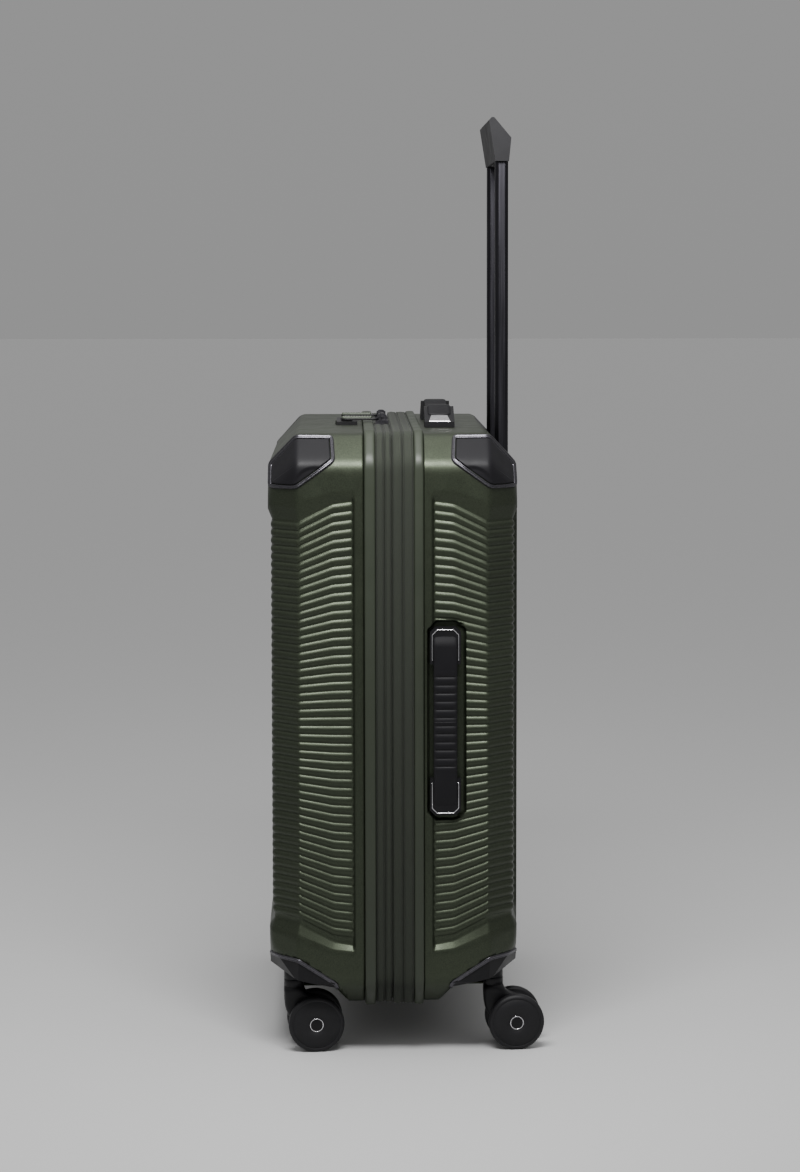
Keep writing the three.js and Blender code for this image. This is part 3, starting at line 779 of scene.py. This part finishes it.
def build_bands():
    """The trims and zip cloths, as (piece, CAD node, body, section, material, slot), and their stitches."""
    trim_front = rounded_section(-29.6, -18.5, 3.0, -4.3, 1.5, 0.25)
    trim_back = rounded_section(21.2, 30.9, 3.0, -4.3, 1.5, 0.25)
    zip_front = rounded_section(-18.2, -9.15, 0.2, -3.0, 0.35, 0.9)
    zip_back = rounded_section(9.75, 20.9, 1.6, -3.0, 0.35, 0.7)
    fold = [(-1.7, -1.8), (-0.9, -2.6), (-0.3, -1.6)]
    middle = rounded_section(-8.85, -2.0, 0.2, -3.0, 0.35, 0.8)[:-2] + fold
    middle += rounded_section(0.2, 9.45, 1.6, -3.0, 0.35, 0.8) + [(-8.85, -3.0)]
    pieces = [
        ("front_trim_band", "front_trim", "front_case", trim_front, TRIM, "trim"),
        ("front_zip_cloth", "front_zip_tape", "front_case", zip_front, FABRIC, "zip_fabric"),
        ("back_zip_cloth", "back_zip_tape", "back_case", zip_back, FABRIC, "zip_fabric"),
        ("back_trim_band", "back_trim", "back_case", trim_back, TRIM, "trim"),
        ("middle_zip_cloth", "middle_zip_band", "expander", middle, FABRIC, "zip_fabric"),
    ]
    for name, cad, body, section, material, slot in pieces:
        piece = band(name, section, material)
        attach(piece, body)
        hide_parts(cad)
    rows = [
        ("stitches_front_trim", -16.9, 0.75, "front_case"), ("stitches_front_zip", -10.5, 0.75, "front_case"),
        ("stitches_middle_front", -7.6, 0.75, "expander"), ("stitches_fold", -2.9, 0.6, "expander"),
        ("stitches_middle_back", 8.2, 2.0, "expander"), ("stitches_back_zip", 11.1, 2.0, "back_case"),
        ("stitches_back_trim", 19.4, 2.0, "back_case"),
    ]
    for name, y, grow, body in rows:
        row = stitches(name, y, grow)
        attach(row, body)


def build_gusset():
    """The folded cloth behind the expansion zip."""
    folds, level, fold, thick = 26, -5.0, 0.35, 0.9
    outer = [(y, level - fold * (k % 2)) for k, y in enumerate(np.linspace(3, 29.5, folds + 1))]
    inner = [(y, height - thick) for y, height in reversed(outer)]
    piece = band("gusset_cloth", outer + inner, GUSSET)
    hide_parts("expansion_gusset")
    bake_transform(piece)


def build_spine():
    """The cloth spine on the left side."""
    rows, columns, thick = 13, 60, 0.9
    waves = [thick * math.sin(math.pi * i / (rows - 1)) for i in range(rows)]
    heights = np.linspace(96, 596, columns)
    outer = [(-226.2 - wave, y, z) for y, wave in zip(np.linspace(-17, -1, rows), waves) for z in heights]
    inner = [(x + thick, y, z) for x, y, z in outer]
    count = len(outer)
    faces = grid_faces(rows, columns)
    inner_faces = [tuple(reversed([i + count for i in face])) for face in faces]
    border = [i * columns for i in range(rows)] + [(rows - 1) * columns + j for j in range(1, columns)]
    border += [i * columns + columns - 1 for i in range(rows - 2, -1, -1)] + list(range(columns - 2, 0, -1))
    sides = [(a, b, b + count, a + count) for a, b in zip(border, border[1:] + border[:1])]
    piece = weld(make_object("hinge_spine_cloth", outer + inner, faces + inner_faces + sides, GUSSET))
    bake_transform(piece)


# ---- corner protectors and lower bezels ----
def softplus(value, width):
    """0 below zero and the value above it, with a soft bend."""
    return width * np.logaddexp(0, value / width)


def side_surface(depth, height):
    """X of the case's right side, chamfers and bevels at a |Y| and Z."""
    fraction = softplus(np.asarray(depth, float) - CREASE, 1.1) / BEVEL_DEPTH
    height = np.asarray(height, float)
    flat = HALF_WIDTH - BEVEL_SIDE * fraction
    upper = HALF_WIDTH + TOP - TOP_CHAMFER - (BEVEL_SIDE + BEVEL_TOP) * fraction - height
    lower = HALF_WIDTH - BOTTOM - BOTTOM_CHAMFER - (BEVEL_SIDE + BEVEL_BOTTOM) * fraction + height
    soft = 2.6
    return -soft * np.logaddexp(np.logaddexp(-flat / soft, -upper / soft), -lower / soft)


def surface_normal(depth, height):
    """Outward directions on that surface."""
    step = 0.5
    slope_depth = (side_surface(depth + step, height) - side_surface(depth - step, height)) / (2 * step)
    slope_height = (side_surface(depth, height + step) - side_surface(depth, height - step)) / (2 * step)
    normal = np.stack([np.ones_like(slope_depth), -slope_depth, -slope_height], -1)
    return unit(normal)


def rounded_polygon(corners, radius, spacing):
    """Closed list of points round a polygon, its corners rounded, evenly spaced."""
    points = [point for arc in rounded_corners(corners, radius, 4) for point in arc]
    loop = np.array(points + points[:1])
    places = path_places(loop)
    even = np.linspace(0, places[-1], int(places[-1] / spacing), endpoint=False)
    return np.column_stack([np.interp(even, places, loop[:, axis]) for axis in (0, 1)])


def inset_loop(loop, distance):
    """The loop moved inwards; its points keep their order."""
    tangent = unit(np.roll(loop, -1, axis=0) - np.roll(loop, 1, axis=0))
    inward = np.column_stack([-tangent[:, 1], tangent[:, 0]])
    centre = loop.mean(axis=0)
    if np.sum(inward * (centre - loop)) < 0:
        inward = -inward
    return loop + inward * distance


def on_corner(loop, lift, side, end):
    """Places (|Y|, Z) points on the case's corner, lifted off its surface."""
    depth, height = loop[:, 0], loop[:, 1]
    base = np.column_stack([side_surface(depth, height), depth, height])
    lifted = base + surface_normal(depth, height) * np.reshape(lift, (-1, 1))
    return lifted * (side, end, 1)


def section_on_corner(name, loop, section, side, end, material):
    """Sweeps a closed section of (inset, lift) points along a loop on the corner."""
    rings = [on_corner(inset_loop(loop, inset), lift, side, end) for inset, lift in section]
    faces = grid_faces(len(rings), len(loop), close_rows=True, close_columns=True)
    return weld(make_object(name, np.concatenate(rings), faces, material))


# outline of an upper corner protector (|Y|, Z), and the sections of its parts (inset, lift)
PROTECTOR = [(61.5, 640.5), (59.5, 616), (98.5, 588.5), (127.3, 587.5), (127.3, 611), (99.5, 641)]
# section of the ring painted as the gap's shadow, under and just outside the frame
GAP_SECTION = [(0, -3), (0.2, 0.35), (2.5, 0.35), (2.5, -3)]
FRAME_SECTION = [
    (0, -3), (0, 1.5), (0.5, 2.1), (1.1, 2.15), (1.6, 1.7), (2.0, 1.7), (2.4, 2.1), (3.0, 1.95), (3.4, 1.3),
    (3.4, -3),
]
PROTECTOR_ROUND = 4
PROTECTOR_SPACING = 1.6
GAP_GROW = 1.0
PAD_INSET = 3.8
PAD_LIFT = 2.2
# the pad's rings as (share of its outline, lift), from its sunk edge inwards
PAD_EDGE = [(1, -3), (1, 1.2), (0.985, 1.9), (0.96, PAD_LIFT)]
SCOOP = {"y": 80, "z": 594, "half_y": 21, "half_z": 17, "depth": 1.4}

# strip along the top of a lower housing: its path (|Y|, Z) and its section (across, lift)
BEZEL_PATH = [(127.8, 101.3), (99, 101.3), (60, 76), (58.5, 70)]
BEZEL_SECTION = [
    (-2.2, -3), (-2.2, 0.7), (-1.7, 1.2), (-0.2, 1.25), (0.3, 0.85), (0.7, 1.25), (1.4, 1.2), (1.8, 0.6),
    (1.8, -3),
]

# what is cut from a lower housing, as (|Y|, Z) outlines, and the (z, radius) profile of its sleeve
HOUSING_HOOK = [(30, 30), (58.3, 30), (58.3, 90), (30, 90)]
HOUSING_UNDERSIDE = [(50, 30), (160, 30), (160, 94), (128.5, 88), (58.5, 70.5), (50, 70.5)]
SLEEVE_PROFILE = [(73.6, 8.5), (73.6, 9.7), (74.0, 10.2), (91, 10.2), (91, 8.5)]


def build_protector(side_name, side, end_name, end):
    """An upper corner protector: a near-black ring painted as the shadow in the gap round it, a metal frame
    and a soft pad.
    """
    corner = f"{end_name}_{side_name}"
    loop = rounded_polygon(PROTECTOR, PROTECTOR_ROUND, PROTECTOR_SPACING)
    gap_loop = inset_loop(loop, -GAP_GROW)
    # a near-black ring just outside the frame, painted as the shadow in the gap between protector and shell
    painted_shadow_ring = section_on_corner(f"{corner}_protector_gap_painted_shadow", gap_loop, GAP_SECTION, side, end, GAP_SHADOW_PAINT)
    border = section_on_corner(f"{corner}_protector_frame", loop, FRAME_SECTION, side, end, GUNMETAL)
    inner = inset_loop(loop, PAD_INSET)
    centre = inner.mean(axis=0)
    points = []
    for share, lift in PAD_EDGE + [(share, PAD_LIFT) for share in np.linspace(0.92, 0, 22)]:
        ring = centre + (inner - centre) * share
        points.append(on_corner(ring, lift - hollow_corner(ring), side, end))
    faces = grid_faces(len(points), len(loop), close_columns=True)
    pad = weld(make_object(f"{corner}_protector_pad", np.concatenate(points), faces, SOFT_BLACK))
    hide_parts(f"{corner}_corner_protector")
    for piece, slot in ((painted_shadow_ring, "black_plastic"), (border, "zip_metal"), (pad, "black_plastic")):
        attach(piece, f"{end_name}_case")


def hollow_corner(ring):
    """The soft curved step that is pressed into each pad near its lower middle corner."""
    offset = (ring - (SCOOP["y"], SCOOP["z"])) / (SCOOP["half_y"], SCOOP["half_z"])
    return SCOOP["depth"] * (1 - smoothstep(0.8, 1.0, np.linalg.norm(offset, axis=1)))


def build_bezel(side_name, side, end_name, end):
    """The metal strip along the top of a lower corner housing."""
    line = polyline(BEZEL_PATH, 2.0)
    for _ in range(3):
        line[1:-1] = (line[:-2] + 2 * line[1:-1] + line[2:]) / 4
    tangent = unit(np.gradient(line, axis=0))
    down = np.column_stack([tangent[:, 1], -tangent[:, 0]])
    if down[0][1] > 0:
        down = -down
    rings = [on_corner(line + down * across, lift, side, end) for across, lift in BEZEL_SECTION]
    faces = sweep_faces(len(rings), len(line))
    piece = weld(make_object(f"{end_name}_{side_name}_housing_bezel", np.concatenate(rings), faces, GUNMETAL))
    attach(piece, f"{end_name}_case")


def build_housing(side_name, side, end_name, end):
    """A lower corner housing, cut to its slanted underside, with the sleeve its caster turns in."""
    name = f"{end_name}_{side_name}_caster_housing"
    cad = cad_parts[name]
    piece = bpy.data.objects.new(f"{name}_moulded", cad.data.copy())
    piece.data.transform(cad.matrix_world)
    piece.data.materials.clear()
    piece.data.materials.append(BLACK)
    bpy.context.scene.collection.objects.link(piece)
    reach = sorted((side * 100, side * 300))
    cutters = [prism_object("housing_cutter", [(end * y, z) for y, z in outline], *reach, "x")
               for outline in (HOUSING_HOOK, HOUSING_UNDERSIDE)]
    cut_with(piece, cutters)
    bevelled(piece, 2.2)
    points, faces = lathe(SLEEVE_PROFILE, 48)
    points = points[:, [2, 1, 0]] + (side * STEM[0], end * STEM[1], 0)
    sleeve = weld(make_object(f"{name}_sleeve", points, faces, BLACK))
    for made in (piece, sleeve):
        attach(made, f"{end_name}_case")
    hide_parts(name)


# ---- casters ----
def lathe(profile, segments=64):
    """Closed rings about the X axis from (x, radius) points; a radius of 0 closes the end."""
    rings = []
    for x, radius in profile:
        turns = np.linspace(0, 2 * math.pi, segments, endpoint=False)
        rings.append(np.column_stack([np.full(segments, x), radius * np.cos(turns), radius * np.sin(turns)]))
    return np.concatenate(rings), grid_faces(len(profile), segments, close_columns=True)


def turned(points, side, end):
    """From a caster's own axes (about its stem) to the case. The back left one trails forwards."""
    points = np.asarray(points, float)
    turn = CASTER_TURN + (math.pi if (side, end) == (-1, 1) else 0)
    c, s = math.cos(turn), math.sin(turn)
    x = points[:, 0] * c - points[:, 1] * s + side * STEM[0]
    y = points[:, 0] * s + points[:, 1] * c + end * STEM[1]
    return np.column_stack([x, y, points[:, 2]])


def wheel_parts(offset, outwards):
    """Tyre, ring and cap of one wheel. outwards is 1 when its outer face looks along +X."""
    half = WHEEL_HALF_WIDTH
    tyre = [
        (-half, 3.6), (-half, 24.0), (-half + 0.6, 24.6), (-half + 0.2, 26.4), (-half + 1.2, 28.2),
        (-2.6, 28.95), (2.6, 28.95), (half - 1.6, 28.4), (half - 0.4, 26.9), (half, 26.0), (half, 25.3),
        (half - 0.5, 24.9), (half - 0.5, 24.4), (half - 0.15, 24.1), (half - 0.1, 7.6), (half - 0.5, 7.3),
        (half - 0.5, 3.6), (-half, 3.6),
    ]
    ring = [
        (half - 0.9, 7.1), (half, 7.1), (half + 0.15, 6.9), (half + 0.15, 6.3), (half - 0.2, 6.1),
        (half - 0.9, 6.1), (half - 0.9, 7.1),
    ]
    cap = [(half - 0.9, 0), (half - 0.9, 6.0), (half - 0.35, 5.9), (half - 0.15, 5.4), (half - 0.05, 0)]
    made = []
    for profile in (tyre, ring, cap):
        points, faces = lathe(profile)
        made.append((points * (outwards, 1, 1) + (offset, TRAIL, AXLE_Z), faces))
    return made


def build_caster(side_name, side, end_name, end):
    """A caster's two wheels and its fork."""
    corner = f"{end_name}_{side_name}"
    looks = (("tyre", RUBBER, "wheel_tread"), ("ring", CHROME, "chrome"), ("cap", BLACK, "black_plastic"))
    for wheel_name, wheel_side in (("left", -1), ("right", 1)):
        body = f"{corner}_wheel_{wheel_name}"
        parts = wheel_parts(wheel_side * WHEEL_OFFSET, wheel_side)
        for (points, faces), (part, material, slot) in zip(parts, looks):
            piece = weld(make_object(f"{body}_{part}", turned(points, side, end), faces, material))
            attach(piece, body)
            if part == "tyre":
                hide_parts(body)
    fork = build_fork(corner, side, end)
    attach(fork, f"{corner}_caster")
    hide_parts(f"{corner}_caster_fork")


# the fork's level sections: (z, reach in front of the stem, reach behind it, half width)
FORK_LEVELS = [
    (73.5, 9.4, 9.4, 9.4), (73.4, 10.1, 10.1, 10.1), (72.9, 10.3, 10.3, 10.3), (66.5, 10.3, 10.3, 10.3),
    (66.2, 9.8, 9.8, 9.8), (65.8, 9.8, 9.8, 9.8), (65.5, 10.4, 10.4, 10.4), (60.5, 10.4, 12.5, 10.3),
    (57, 10.3, 17, 10.1), (53, 10.2, 27, 9.8), (48, 9.8, 33.5, 9.6), (42, 8.8, 36.5, 9.5),
    (36, 6.4, 37.5, 9.5), (30, 2.5, 37.5, 9.5), (24, -3, 36, 9.5), (19, -10, 32, 9.3),
    (16.4, -15, 28, 8.6), (16, -17, 26, 7.5),
]


def build_fork(corner, side, end):
    """Boss under the housing, neck and the fin between the wheels, as stacked rounded sections."""
    segments = 40
    rings = []
    for z, front, back, width in FORK_LEVELS:
        centre, half = (back - front) / 2, (back + front) / 2
        power = 1.0 if half <= width + 0.2 else 0.55
        rings += [(width * x, centre + half * y, z) for x, y in oval(segments, power, 0.5 + power / 2)]
    faces = loft_faces(len(FORK_LEVELS), segments)
    return weld(make_object(f"{corner}_fork_shaped", turned(rings, side, end), faces, BLACK))


# ---- trolley ----
def build_trolley():
    """The two sliding tubes, with chamfered corners and grooves."""
    for side_name in ("left", "right"):
        node_name = f"trolley_inner_tube_{side_name}"
        low, high = case_box(node_name)
        centre, half = (low + high) / 2, (high - low) / 2
        outline = tube_outline(half[0], half[1])
        points = [(centre[0] + x, centre[1] + y, z) for z in (low[2], high[2]) for x, y in outline]
        faces = loft_faces(2, len(outline))
        piece = weld(make_object(f"{node_name}_grooved", points, faces, TUBE, smooth=False))
        bevelled(piece, 0.35, 2)
        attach(piece, "trolley")
        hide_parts(node_name)


def tube_outline(half_x, half_y):
    """Tube section with chamfered corners and a shallow groove on each broad face."""
    cut, groove, deep = 3.4, 2.2, 1.1
    quarter = [
        (half_x, 0), (half_x, half_y - cut), (half_x - cut, half_y), (groove + 1, half_y),
        (groove, half_y - deep),
    ]
    right = quarter + [(-x, y) for x, y in reversed(quarter)]
    lower = [(-x, -y) for x, y in right[1:-1]]
    return right + lower


# ---- carry handles ----
# far is half the strap's length, ribs half its ribbed stretch, fall how far its ends dip into the mounts
# and sag how far its middle hangs; run and out are the directions of its length and face
STRAPS = {
    "side_handle": {"halves": ("lower", "upper"), "run": (0, 0, 1), "out": (1, 0, 0),
                    "far": 93, "ribs": 56, "fall": 4.0, "sag": 0.0},
    "top_handle": {"halves": ("left", "right"), "run": (1, 0, 0), "out": (0, 0, 1),
                   "far": 84, "ribs": 56, "fall": 8.0, "sag": 3.5},
}
STRAP_THICKNESS = 2.5
STRAP_RINGS = 150
RIB_LENGTH = 8.4
RIB_DEPTH = 1.6
END_ROUND = 3
TOP_STRAP_DROP = 5.6
STRIP_SECTION = [(-0.55, -0.6), (-0.55, 0.5), (-0.275, 1.0), (0.275, 1.0), (0.55, 0.5), (0.55, -0.6)]
STRIP_CUT = 5.2
STRIP_INSET = 2.3
STRIP_TAIL = 4


def strap_half(name, centre, half_width, sign, strap):
    """Half of a carry strap: ribbed bar from the middle to the mount, its end dipping into the mount."""
    run, out = np.array(strap["run"], float), np.array(strap["out"], float)
    across = np.cross(out, run)
    far, ribs = strap["far"], strap["ribs"]
    section = oval(24, 0.35, 0.6)
    rings = []
    for length in np.linspace(0, far, STRAP_RINGS):
        in_ribs = float(1 - smoothstep(ribs - 12, ribs, length))
        groove = in_ribs * RIB_DEPTH * (1 - abs(math.cos(math.pi * length / RIB_LENGTH)) ** 0.6)
        drop = strap["fall"] * float(smoothstep(far - 16, far, length))
        drop += strap["sag"] * float(1 - smoothstep(ribs - 25, ribs, length))
        past = (length - far + END_ROUND) / END_ROUND
        cap = math.sqrt(max(0.02, 1 - past ** 2)) if past >= 0 else 1.0
        for x, y in section:
            face = groove * (1 - abs(x) ** 6) if y > 0 else 0
            place = centre + run * sign * length + across * x * half_width * cap
            rings.append(place + out * (y * STRAP_THICKNESS * cap - face * min(1, y * 2) - drop))
    return weld(make_object(name, rings, loft_faces(STRAP_RINGS, len(section)), SOFT_BLACK))


def build_strap(handle, centre, half_width):
    """Both halves of a strap, each running from the middle to its mount."""
    strap = STRAPS[handle]
    for sign, half_name in zip((-1, 1), strap["halves"]):
        piece = strap_half(f"{handle}_strap_{half_name}", centre, half_width, sign, strap)
        if sign < 0:
            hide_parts(f"{handle}_grip")
        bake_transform(piece)


def outline_strip(name, points, normal, material):
    """A thin raised metal strip along a path of points on a flat face."""
    normal = np.array(normal, float)
    tangent = unit(np.gradient(points, axis=0))
    across = np.cross(np.tile(normal, (len(points), 1)), tangent)
    rings = [points + across * shift + normal * lift for shift, lift in STRIP_SECTION]
    faces = sweep_faces(len(rings), len(points))
    return weld(make_object(name, np.concatenate(rings), faces, material))


def build_handles():
    """Both carry straps, the outlines of the side mounts and the plates of the top mounts."""
    low, high = case_box("side_handle_grip")
    build_strap("side_handle", (low + high) / 2, (high[1] - low[1]) / 2)
    for name, sign in (("lower", -1), ("upper", 1)):
        low, high = case_box(f"side_handle_mount_{name}")
        left, right = low[1] + STRIP_INSET, high[1] - STRIP_INSET
        inner, outer = (low[2], high[2]) if sign > 0 else (high[2], low[2])
        tail, top = inner + sign * STRIP_TAIL, outer - sign * STRIP_INSET
        bend = top - sign * STRIP_CUT
        path = [
            (left, tail), (left, bend), (left + STRIP_CUT, top), (right - STRIP_CUT, top), (right, bend),
            (right, tail),
        ]
        points = polyline([(high[0], y, z) for y, z in path], 1.0)
        strip = outline_strip(f"side_handle_outline_{name}", points, (1, 0, 0), CHROME)
        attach(strip, "back_case")
    low, high = case_box("top_handle_grip")
    middle = (low + high) / 2
    middle[2] = high[2] - TOP_STRAP_DROP
    build_strap("top_handle", middle, (high[1] - low[1]) / 2)
    for name, side in (("left", -1), ("right", 1)):
        build_mount_plate(name, side, middle[1])


# the plate's outline (|X|, Y) and the slope that it lies on, from its (|X|, Z) upper end
PLATE = [(96.6, 11.5), (84.5, 9.0), (84.5, -9.0), (96.6, -11.5)]
PLATE_SLOPE_START = (65, 664)
PLATE_SLOPE = 15 / 32


def build_mount_plate(name, side, middle_y):
    """The bright plate on the sloping end of a top handle mount."""
    slope_x, slope_z = PLATE_SLOPE_START
    rings = []
    for inset, lift in ((0, -0.5), (0, 0.5), (0.5, 1.0)):
        for x, y in PLATE:
            x_in = x + (inset if x < 90 else -inset)
            height = slope_z - (x_in - slope_x) * PLATE_SLOPE
            rings.append((side * x_in, middle_y + y - math.copysign(inset, y), height + lift))
    faces = loft_faces(3, len(PLATE))
    plate = weld(make_object(f"top_handle_plate_{name}", rings, faces, CHROME, smooth=False))
    bevelled(plate, 0.3, 2)
    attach(plate, "back_case")


# ---- zip pullers ----
# share of a bar's width left at its rounded ends
BAR_END = 0.6


def bar(x, y, z, power, bump_count=0):
    """A rounded bar along Y between the x, y and z limits, with optional ribs on its top."""
    middle_x, half_x = (x[0] + x[1]) / 2, (x[1] - x[0]) / 2
    middle_z, half_z = (z[0] + z[1]) / 2, (z[1] - z[0]) / 2
    steps = max(12, bump_count * 8)
    section = oval(20, power, power)
    rings = []
    for share in np.linspace(0, 1, steps + 1):
        end = min(1, BAR_END + 12 * min(share, 1 - share))
        wave = abs(math.sin(math.pi * bump_count * share)) if bump_count else 1
        for across, up in section:
            height = middle_z + up * half_z * (0.55 + 0.45 * wave if up > 0 else 1)
            rings.append((middle_x + across * half_x * end, y[0] + (y[1] - y[0]) * share, height))
    return rings, loft_faces(steps + 1, len(section))


def eye_ring(centre, y, z, radius, thick, half_width):
    """A flat ring about the X axis, where a puller hangs in its slider."""
    inner = radius - thick
    profile = [(-half_width, inner), (-half_width, radius), (half_width, radius), (half_width, inner)]
    points, faces = lathe(profile + profile[:1], 28)
    return points + (centre, y, z), faces


def build_pullers():
    """The two zip pullers: a black base with its eye, and a ribbed green grip."""
    for side_name in ("left", "right"):
        node_name = f"zip_puller_{side_name}"
        (x_low, near, bottom), (x_high, far, top) = case_box(node_name)
        centre = (x_low + x_high) / 2
        eye = far - 2.3
        base = bar((centre - 4.4, centre + 4.4), (near, eye - 2), (bottom, bottom + 2.3), 0.45)
        ring = eye_ring(centre, eye, bottom + 2.2, 2.2, 0.9, 2.4)
        body = join_parts(f"{node_name}_base", [base, ring], BLACK)
        tab_sizes = ((centre - 3.7, centre + 3.7), (near + 0.8, near + 33), (bottom + 1.2, top + 0.2))
        tab = bar(*tab_sizes, 0.5, 11)
        grip = join_parts(f"{node_name}_grip", [tab], PULLER_GREEN)
        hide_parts(node_name)
        for piece in (body, grip):
            weld(piece)
            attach(piece, node_name)


# ---- materials for the CAD nodes that stay ----
# part of the node's name: (material, width of its rounded edges)
KEPT = {
    "caster_axle": (STEEL, 0.4), "trolley_outer_tube": (TUBE, 0.5),
    "trolley_bezel": (BLACK, 0.9), "trolley_foot": (BLACK, 0.8), "trolley_grip": (SOFT_BLACK, 2.2),
    "trolley_button": (BLACK, 0.8), "side_handle_mount": (BLACK, 1.2), "top_handle_mount": (BLACK, 1.2),
    "lock_body": (BLACK, 0.5), "lock_dial": (GUNMETAL, 0.3), "lock_key_cylinder": (CHROME, 0.2),
    "lock_button": (BLACK, 0.5), "zip_slider": (GUNMETAL, 0.4),
}


def dress_cad_nodes():
    """Materials and rounded edges on the CAD nodes that no piece replaces."""
    for name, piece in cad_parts.items():
        for key, (material, width) in KEPT.items():
            if key in name:
                piece.data.materials.clear()
                piece.data.materials.append(material)
                bevelled(piece, width)
                break


# ---- camera, light and floor ----
def aim(thing, target):
    """Turns a lamp towards a place."""
    thing.rotation_euler = (Vector(target) - thing.location).to_track_quat("-Z", "Y").to_euler()


def softbox(name, place, target, size, power):
    """A rectangular lamp that the camera doesn't see."""
    light = bpy.data.lights.new(name, "AREA")
    light.shape = "RECTANGLE"
    light.size, light.size_y = size
    light.energy = power
    lamp = bpy.data.objects.new(name, light)
    bpy.context.scene.collection.objects.link(lamp)
    lamp.location = place
    lamp.visible_camera = False
    aim(lamp, target)


def pale_floor():
    """A matt, pale studio floor with a very fine grain."""
    material, tree, shader = new_material("pale_floor")
    shader.inputs["Roughness"].default_value = 0.95
    shader.inputs["Specular IOR Level"].default_value = 0.1
    grain = ramp(tree, noise(tree, 900, 2), [(0.3, grey(0.52)), (0.7, grey(0.54))])
    tree.links.new(grain, shader.inputs["Base Color"])
    return material


# place and target in metres, size in metres, power in watts
LAMPS = {
    "key_over_side": ((0.70, -0.05, 1.18), (0.22, 0, 0.68), (0.6, 0.3), 17),
    "top_light": ((-0.1, 0, 2.3), (0, 0, 0.6), (1.2, 1.2), 8),
}
# brightness of the studio's surround from level to straight up
SURROUND = [(0.0, 0.31), (0.3, 0.33), (1.0, 0.9)]
FLOOR_REACH = 30000


def build_stage():
    """The floor, a surround that is brighter overhead, and the lamps."""
    corners = [(x * FLOOR_REACH, y * FLOOR_REACH, 0) for x, y in ((-1, -1), (1, -1), (1, 1), (-1, 1))]
    floor = make_object("floor", corners, [(0, 1, 2, 3)], pale_floor(), smooth=False)
    world = bpy.data.worlds.new("studio")
    world.use_nodes = True
    tree = world.node_tree
    background = tree.nodes["Background"]
    coords = tree.nodes.new("ShaderNodeTexCoord")
    parts = tree.nodes.new("ShaderNodeSeparateXYZ")
    tree.links.new(coords.outputs["Generated"], parts.inputs[0])
    sky = ramp(tree, parts.outputs["Z"], [(place, grey(level)) for place, level in SURROUND])
    tree.links.new(sky, background.inputs["Color"])
    background.inputs["Strength"].default_value = 1.0
    bpy.context.scene.world = world
    for name, (place, target, size, power) in LAMPS.items():
        softbox(name, place, target, size, power)


# the eye in case millimetres, and how far it turns and looks down
EYE = (2975, -47, 808)
EYE_YAW = math.radians(2.5)
EYE_PITCH = math.radians(4.24)
LENS = 83.3
SHIFT = (-0.0555, -0.0964)


def build_camera():
    """A long lens at the side, looking slightly down, with its shift for the framing."""
    camera = bpy.data.cameras.new("camera")
    camera.lens = LENS
    camera.sensor_width = 36
    camera.shift_x, camera.shift_y = SHIFT
    camera.clip_end = 60
    eye = bpy.data.objects.new("camera", camera)
    bpy.context.scene.collection.objects.link(eye)
    eye.location = to_row([EYE])[0]
    direction = Vector((-math.cos(EYE_YAW), math.sin(EYE_YAW), -math.tan(EYE_PITCH)))
    eye.rotation_euler = direction.to_track_quat("-Z", "Y").to_euler()
    bpy.context.scene.camera = eye


build_camera()
build_stage()
build_shells()
build_linings()
build_bands()
build_gusset()
build_spine()
for end_name, end in (("front", -1), ("back", 1)):
    for side_name, side in (("left", -1), ("right", 1)):
        build_protector(side_name, side, end_name, end)
        build_bezel(side_name, side, end_name, end)
        build_housing(side_name, side, end_name, end)
        build_caster(side_name, side, end_name, end)
build_trolley()
build_handles()
build_pullers()
dress_cad_nodes()
